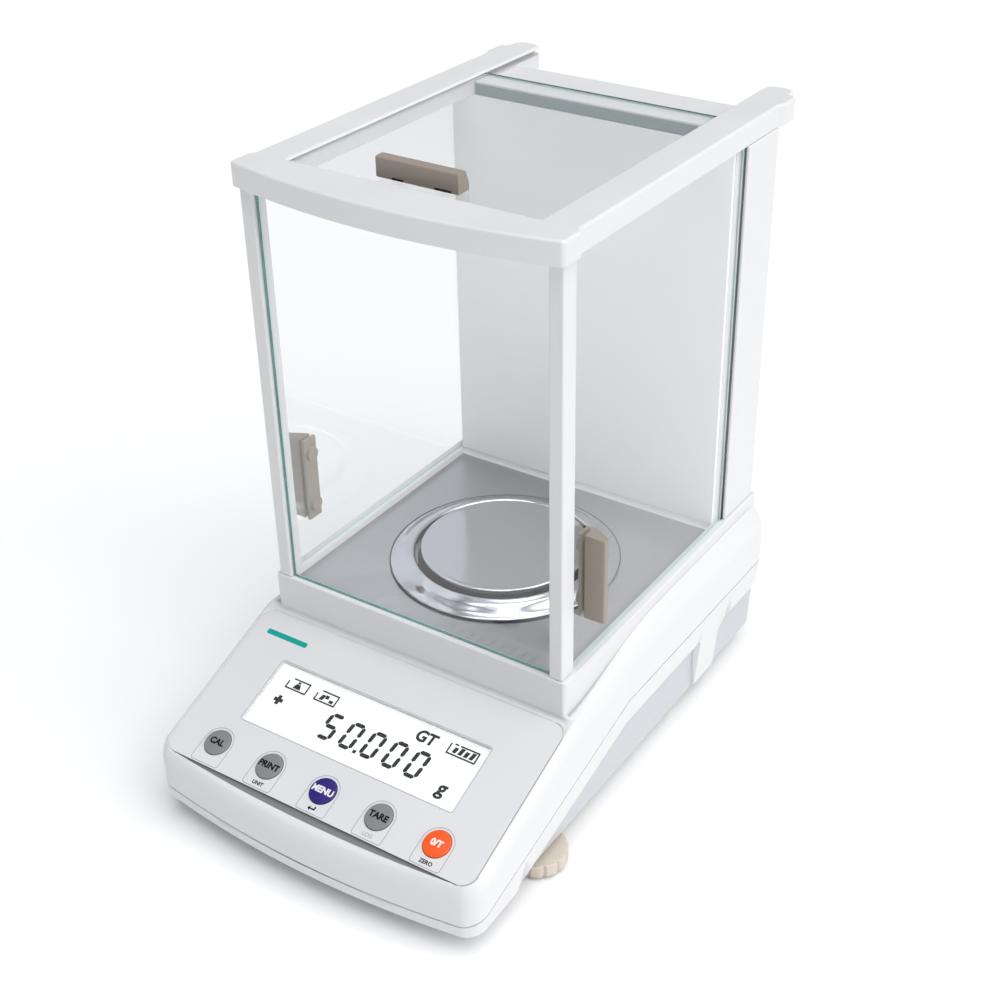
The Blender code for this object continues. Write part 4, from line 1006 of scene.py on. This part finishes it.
def roof_outline():
    """Plan of the roof frame, anticlockwise: a parabola y = front + bow (x / half)^2 between its round front
    corners, then ears, rails and tails down the right side, across the inner opening and up the left side."""
    x = np.linspace(-0.90, 0.90, 25) * ROOF_EAR_X
    front = [(a, ROOF_FRONT_Y + ROOF_BOW * (a / ROOF_EAR_X) ** 2, 0) for a in x]
    right = [(ROOF_EAR_X, ROOF_FRONT_Y + ROOF_BOW, 0.0030), (ROOF_EAR_X, CROSSPIECE_REAR_Y - 0.003, 0.0024),
             (ROOF_HALF_WIDTH, CROSSPIECE_REAR_Y, 0.0008), (ROOF_HALF_WIDTH, EAR_REAR_Y, 0.0010),
             (ROOF_EAR_X, EAR_REAR_Y + 0.004, 0.0024), (ROOF_EAR_X, ROOF_REAR_Y, 0.0028),
             (ROOF_TAIL_X, ROOF_REAR_Y, 0.0012), (ROOF_TAIL_X - 0.0005, ROOF_TAIL_Y, 0.0068),
             (RAIL_INNER_X, ROOF_TAIL_Y, 0.0068), (RAIL_INNER_X, CROSSPIECE_REAR_Y, 0.0008)]
    left = [(-a, b, r) for a, b, r in right[::-1]]
    return rounded_polygon(front + right + left)


roof_profile = slab(SHIELD_TOP_Z, ROOF_TOP_Z, 0.0004, 2)[:3] + slab(SHIELD_TOP_Z, ROOF_TOP_Z, ROOF_RIM, 6)[7:]
roof = skin("shield_roof", carried(roof_outline(), roof_profile), [white_abs])
door_low, door_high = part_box("door_top")
top_groove = plan_block("top groove", (-door_high.x - 0.0005, door_low.y - 0.0005, door_low.z - GAP),
                        (door_high.x + 0.0005, BEYOND, door_high.z + GAP))
carve(roof, [top_groove] + door_grooves("rail groove", 0.32, SHIELD_TOP_Z + 0.0024))
belongs(roof, "base", "roof_frame")
moulding("rear_roof_cover", "roof_rear_cover", 0.0008, 0.0006, white_abs)
# A grey-teal band on the front face of the rear cover is painted shade: it stands for the dark band under the
# cover, seen through the top pane.
shade_band_grey = moulded_plastic("grey painted shade band", "#7E8F8F", 0.8, 0.3, 0.05, 0.15, sheen=0.2)
cover_low, cover_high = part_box("roof_rear_cover")
shade_band = plan_block("rear_cover_shade_band",
                  (cover_low.x + SHADE_BAND_INSET_X, cover_low.y - SHADE_BAND_THICKNESS, cover_low.z + SHADE_BAND_ABOVE),
                  (cover_high.x - SHADE_BAND_INSET_X, cover_low.y, cover_high.z - SHADE_BAND_BELOW), [shade_band_grey])
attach(shade_band, "base")


# ------------------------------------------------------------------ draught shield: rear column
# Behind the chamber a pale panel closes the column's housing. Two outer panels leave a slot on either side
# for the side panes to slide back into.

# The back panel is a pale moulding painted whiter than the casing's ABS: painted light that lifts it against
# the shade inside the glass chamber.
chamber_panel_lifted_white = moulded_plastic("pale ABS panel lifted by painted light", "#FFFFFF", 0.42, 0.6, 0.010, 0.03)
moulding("chamber_back", "chamber_back_panel", 0.0004, 0.0004, chamber_panel_lifted_white)
for side in ("left", "right"):
    moulding(f"column_panel_{side}", f"column_side_{side}", 0.0006, 0.0006, white_abs)
dress("column_housing", white_abs)


# ------------------------------------------------------------------ sliding doors
# Side and top panes of float glass. Each side pane carries a wedge-shaped grip outside and a clamp plate with
# two screw bosses inside; the top pane has a taller grip glued on, with two black blocks in the gaps under
# it.

taupe_abs = moulded_plastic("taupe ABS grip", "#A1958A", 0.46, 0.45, 0.016, 0.06)
GRIP_ROUND = 0.0009
FOOT_GAP = 0.0013
for side, name in ((-1, "left"), (1, "right")):
    pane(f"side_pane_{name}", f"door_{name}", "x", f"door_{name}", pale_edge)
    low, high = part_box(f"door_{name}_handle")
    near, tip = (low.x, high.x) if side > 0 else (high.x, low.x)
    nose = low.y + 0.0038
    corners = [(near, low.y, 0.0004), (tip, low.y, GRIP_ROUND), (tip, nose, GRIP_ROUND),
               (near, high.y, 0.0004)]
    grip = block(f"grip_{name}", rounded_polygon(corners[::side]), low.z, high.z, [taupe_abs],
                 GRIP_ROUND * 0.4)
    belongs(grip, f"door_{name}", f"door_{name}_handle")
    dress(f"door_{name}_clamp", taupe_abs)

pane("top_pane", "door_top", "z", "door_top", teal_edge)
low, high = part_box("door_top_handle")
grip_side = [(low.y, low.z, 0.0003), (high.y, low.z, 0.0006), (high.y, low.z + 0.0035, 0.0010),
             (high.y - 0.0026, high.z, 0.0012), (low.y, high.z, 0.0012)]
top_grip = block("grip_top", rounded_polygon(grip_side), low.x, high.x, [taupe_abs], 0.0003, SIDEWAYS)
pad_gaps = ((low.x + 0.0090, low.x + 0.0160), (high.x - 0.0140, high.x - 0.0040))
carve(top_grip, [plan_block(f"grip gap {k}", (a, low.y - 0.001, low.z - 0.001),
                            (b, low.y + 0.0052, low.z + FOOT_GAP)) for k, (a, b) in enumerate(pad_gaps)])
# Two black blocks fill the gaps under the grip.
for k, (a, b) in enumerate(pad_gaps):
    pad = plan_block(f"grip_gap_fill_{k}", (a + 0.0002, low.y + 0.0002, low.z + 0.00002),
                     (b - 0.0002, low.y + 0.0048, low.z + FOOT_GAP - 0.0001), [black_gap_fill])
    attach(pad, "door_top")
belongs(top_grip, "door_top", "door_top_handle")


# ------------------------------------------------------------------ level, sockets
# A bubble level stands on the deck behind the column: a black cup with an acrylic vial of green fluid. The
# base's rear wall has a round power socket and a nine-pin data socket in a steel shell.

black_abs = moulded_plastic("black ABS", "#1B1B1D", 0.40, 0.5, 0.012, 0.15)
green_fluid = moulded_plastic("green level fluid", "#8CCB3F", 0.08, 4.0, 0.001, 0.10)
bubble_look = moulded_plastic("level bubble", "#D9F0A6", 0.05, 4.0, 0.001, 0.05)
level_x, level_y, _ = middle("level_cup")
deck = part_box("level_cup")[0].z
cup_profile = [(0.0010, deck), (0.0085, deck), (0.0085, deck + 0.0072),
               *quarter_round(0.0079, deck + 0.0074, 0.0006, 0, 180, 6), (0.0073, deck + 0.0015),
               (0.0010, deck + 0.0015)]
cup = turned_piece("level_holder", level_x, level_y, cup_profile, black_abs, 48)
belongs(cup, "base", "level_cup")
vial_floor, vial_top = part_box("level_vial")[0].z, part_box("level_vial")[1].z
dome = [(radius, vial_top - 0.0005 * (radius / 0.0068) ** 2) for radius in np.linspace(0.0066, 0.0004, 8)]
vial_profile = [(0.0004, vial_floor), (0.0070, vial_floor), (0.0070, vial_top - 0.0008), *dome]
vial = turned_piece("level_glass", level_x, level_y, vial_profile, green_fluid, 48)
belongs(vial, "base", "level_vial")
bubble_profile = [(0.0003, vial_top - 0.0002), (0.0022, vial_top - 0.0001), (0.0021, vial_top + 0.0001),
                  (0.0012, vial_top + 0.0003), (0.0003, vial_top + 0.00034)]
bubble = turned_piece("level_bubble", level_x + 0.0004, level_y - 0.0003, bubble_profile, bubble_look, 32)
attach(bubble, "base")
level_mark = hoop_line("level_circle", disc_outline(level_x, level_y, 0.0034, 40), 0.0003,
                       Matrix.Translation((0, 0, vial_top - 0.00008)), black_ink_and_hole_shade)
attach(level_mark, "base")

inlet_back, inlet_face = inlet_low.y, inlet_high.y
socket_rim = [(0.0005, inlet_back), (0.0060, inlet_back), (0.0060, inlet_face - 0.0004),
              (0.0056, inlet_face), (0.0031, inlet_face), (0.0028, inlet_face - 0.0004),
              (0.0028, inlet_back + 0.003), (0.0005, inlet_back + 0.003)]
inlet = turned_piece("power_socket", inlet_z, inlet_x, socket_rim, black_abs, 48, place=BACKWARDS)
belongs(inlet, "base", "power_inlet")
pin_profile = [(0.0001, inlet_back + 0.0031), (0.0010, inlet_back + 0.0031), (0.0010, inlet_face - 0.0014),
               (0.0006, inlet_face - 0.0008), (0.0001, inlet_face - 0.0008)]
pin = turned_piece("power_socket_pin", inlet_z, inlet_x, pin_profile, ground_steel, 24, place=BACKWARDS)
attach(pin, "base")
# Nine black discs on the socket's face are painted shade: they stand for the dark of its pin holes.
port_x, _, port_z = middle("data_port")
port_hole_discs = [disc_outline(port_z + height, port_x + (k - (count - 1) / 2) * 0.0027, 0.0005, 12)
            for count, height in ((5, 0.0014), (4, -0.0014)) for k in range(count)]
port_hole_shade = stamps("data_port_hole_shade", port_hole_discs, port_high.y + 0.00001, port_high.y + 0.00003, BACKWARDS,
                   black_ink_and_hole_shade)
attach(port_hole_shade, "base")


# ------------------------------------------------------------------ feet
# Two levelling feet in front, each a scalloped ABS wheel on a threaded stud over a rubber pad, and two plain
# rubber feet at the rear.

FOOT_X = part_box("foot_pad_right")[1].x - 0.0070
FOOT_Y = middle("foot_pad_right")[1]
WHEEL_LOBES = 12
WHEEL_NOTCH = 0.0012
WHEEL_THICKNESS = 0.0075
PAD_RADIUS = 0.0070
REAR_FOOT_RADIUS = 0.0095
THREAD_PITCH = 0.0010

beige_abs = moulded_plastic("beige ABS wheel", "#D6CBBD", 0.45, 0.45, 0.016, 0.06)
black_rubber = moulded_plastic("moulded black rubber", "#1C1C1C", 0.78, 0.9, 0.03, 0.2, sheen=0.15)


def wheel_outline(x, y, radius):
    """Plan of a foot wheel: radius less narrow notches, each a Gaussian of the angle from its middle."""
    t = np.linspace(0, 2 * math.pi, 288, endpoint=False)
    part = (t * WHEEL_LOBES / (2 * math.pi)) % 1 - 0.5
    reach = radius - WHEEL_NOTCH * np.exp(-(part / 0.10) ** 2)
    points = np.stack([reach * np.cos(t), reach * np.sin(t)], axis=1)
    ahead = np.roll(points, -1, axis=0) - np.roll(points, 1, axis=0)
    out = np.stack([ahead[:, 1], -ahead[:, 0]], axis=1)
    return points + [x, y], out / np.linalg.norm(out, axis=1, keepdims=True)


for side, name in ((-1, "left"), (1, "right")):
    wheel_low, wheel_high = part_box(f"foot_wheel_{name}")
    wheel_x = side * FOOT_X
    disc_top = wheel_low.z + WHEEL_THICKNESS
    plan = wheel_outline(wheel_x, FOOT_Y, (wheel_high.x - wheel_low.x) / 2)
    wheel = block(f"levelling_wheel_{name}", plan, wheel_low.z, disc_top, [beige_abs], 0.0007)
    turns = np.arange(disc_top - 0.0002, wheel_high.z - THREAD_PITCH, THREAD_PITCH / 2)
    thread = [(0.0005, disc_top - 0.0006),
              *((0.0030 if k % 2 else 0.0026, float(z)) for k, z in enumerate(turns)),
              (0.0026, wheel_high.z - 0.0004), (0.0022, wheel_high.z), (0.0005, wheel_high.z)]
    stud = turned_piece(f"levelling_stud_{name}", wheel_x, FOOT_Y, thread, beige_abs, 32)
    belongs(wheel, f"foot_wheel_{name}", f"foot_wheel_{name}")
    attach(stud, f"foot_wheel_{name}")
    pad_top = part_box(f"foot_pad_{name}")[1].z
    pad_profile = [(0.0005, 0.0), (PAD_RADIUS - 0.0006, 0.0),
                   *quarter_round(PAD_RADIUS - 0.0005, 0.0005, 0.0005, -60, 0, 4),
                   (PAD_RADIUS, pad_top - 0.0003), (PAD_RADIUS - 0.0003, pad_top), (0.0005, pad_top)]
    pad = turned_piece(f"levelling_pad_{name}", wheel_x, FOOT_Y, pad_profile, black_rubber, 48)
    belongs(pad, f"foot_pad_{name}", f"foot_pad_{name}")
    rear_x, rear_y, _ = middle(f"rear_foot_{name}")
    rear_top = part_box(f"rear_foot_{name}")[1].z
    rear_profile = [(0.0005, 0.0), (REAR_FOOT_RADIUS - 0.0013, 0.0),
                    *quarter_round(REAR_FOOT_RADIUS - 0.0012, 0.0012, 0.0012, -70, 0, 5),
                    (REAR_FOOT_RADIUS, rear_top), (0.0005, rear_top)]
    rear = turned_piece(f"rear_rubber_foot_{name}", rear_x, rear_y, rear_profile, black_rubber, 48)
    belongs(rear, "base", f"rear_foot_{name}")


# ------------------------------------------------------------------ studio and camera
# A white floor, one wide soft light from above and a weaker one from the right, a faint cool surround, and
# the camera over the right front corner.

FLOOR_REACH = 60
FLOOR_Z = -0.0002
SURROUND_FAINT = 0.22
SURROUND_SEEN = 1.1
floor_material = finish_material("pale floor", [("Base Color", srgb("#FFFFFF")), ("Roughness", 0.6)])[0]
floor_corners = [(x * FLOOR_REACH, y * FLOOR_REACH, FLOOR_Z) for x, y in ((-1, -1), (1, -1), (1, 1), (-1, 1))]
sweep = add_mesh("studio_floor", floor_corners, [(0, 1, 2, 3)], [floor_material])
world = bpy.data.worlds.new("soft studio")
world.use_nodes = True
surround = world.node_tree.nodes["Background"]
surround.inputs["Color"].default_value = srgb("#F4F8FF")
glow_path = add_node(world, "ShaderNodeLightPath")
seen = add_node(world, "ShaderNodeMath", [("operation", "MAXIMUM")],
                [(0, glow_path, "Is Camera Ray"), (1, glow_path, "Is Transmission Ray")])
glow = add_node(world, "ShaderNodeMapRange", [("To Min", SURROUND_FAINT), ("To Max", SURROUND_SEEN)],
                [("Value", seen, "Value")])
world.node_tree.links.new(glow.outputs["Result"], surround.inputs["Strength"])
bpy.context.scene.world = world


def soft_light(name, toward, spread, strength):
    """A light from far off with a wide soft disc, shining along a direction."""
    lamp = bpy.data.lights.new(name, "SUN")
    lamp.angle = math.radians(spread)
    lamp.energy = strength
    made = bpy.data.objects.new(name, lamp)
    made.rotation_euler = Vector(toward).to_track_quat("-Z", "Y").to_euler()
    bpy.context.scene.collection.objects.link(made)


soft_light("overhead", (-0.28, 0.08, -1), 66, 2.45)
soft_light("from the right", (-1, -0.05, -0.5), 50, 0.95)
camera = bpy.data.objects.new("camera", bpy.data.cameras.new("camera"))
camera.data.lens = 56.85
camera.data.shift_x = -0.0516
camera.data.shift_y = -0.0082
camera.location = (0.4247, -0.6097, 0.6066)
camera.rotation_euler = (math.radians(58.55), 0.0, math.radians(32.022))
bpy.context.scene.collection.objects.link(camera)
bpy.context.scene.camera = camera
bpy.context.scene.view_settings.view_transform = "Standard"
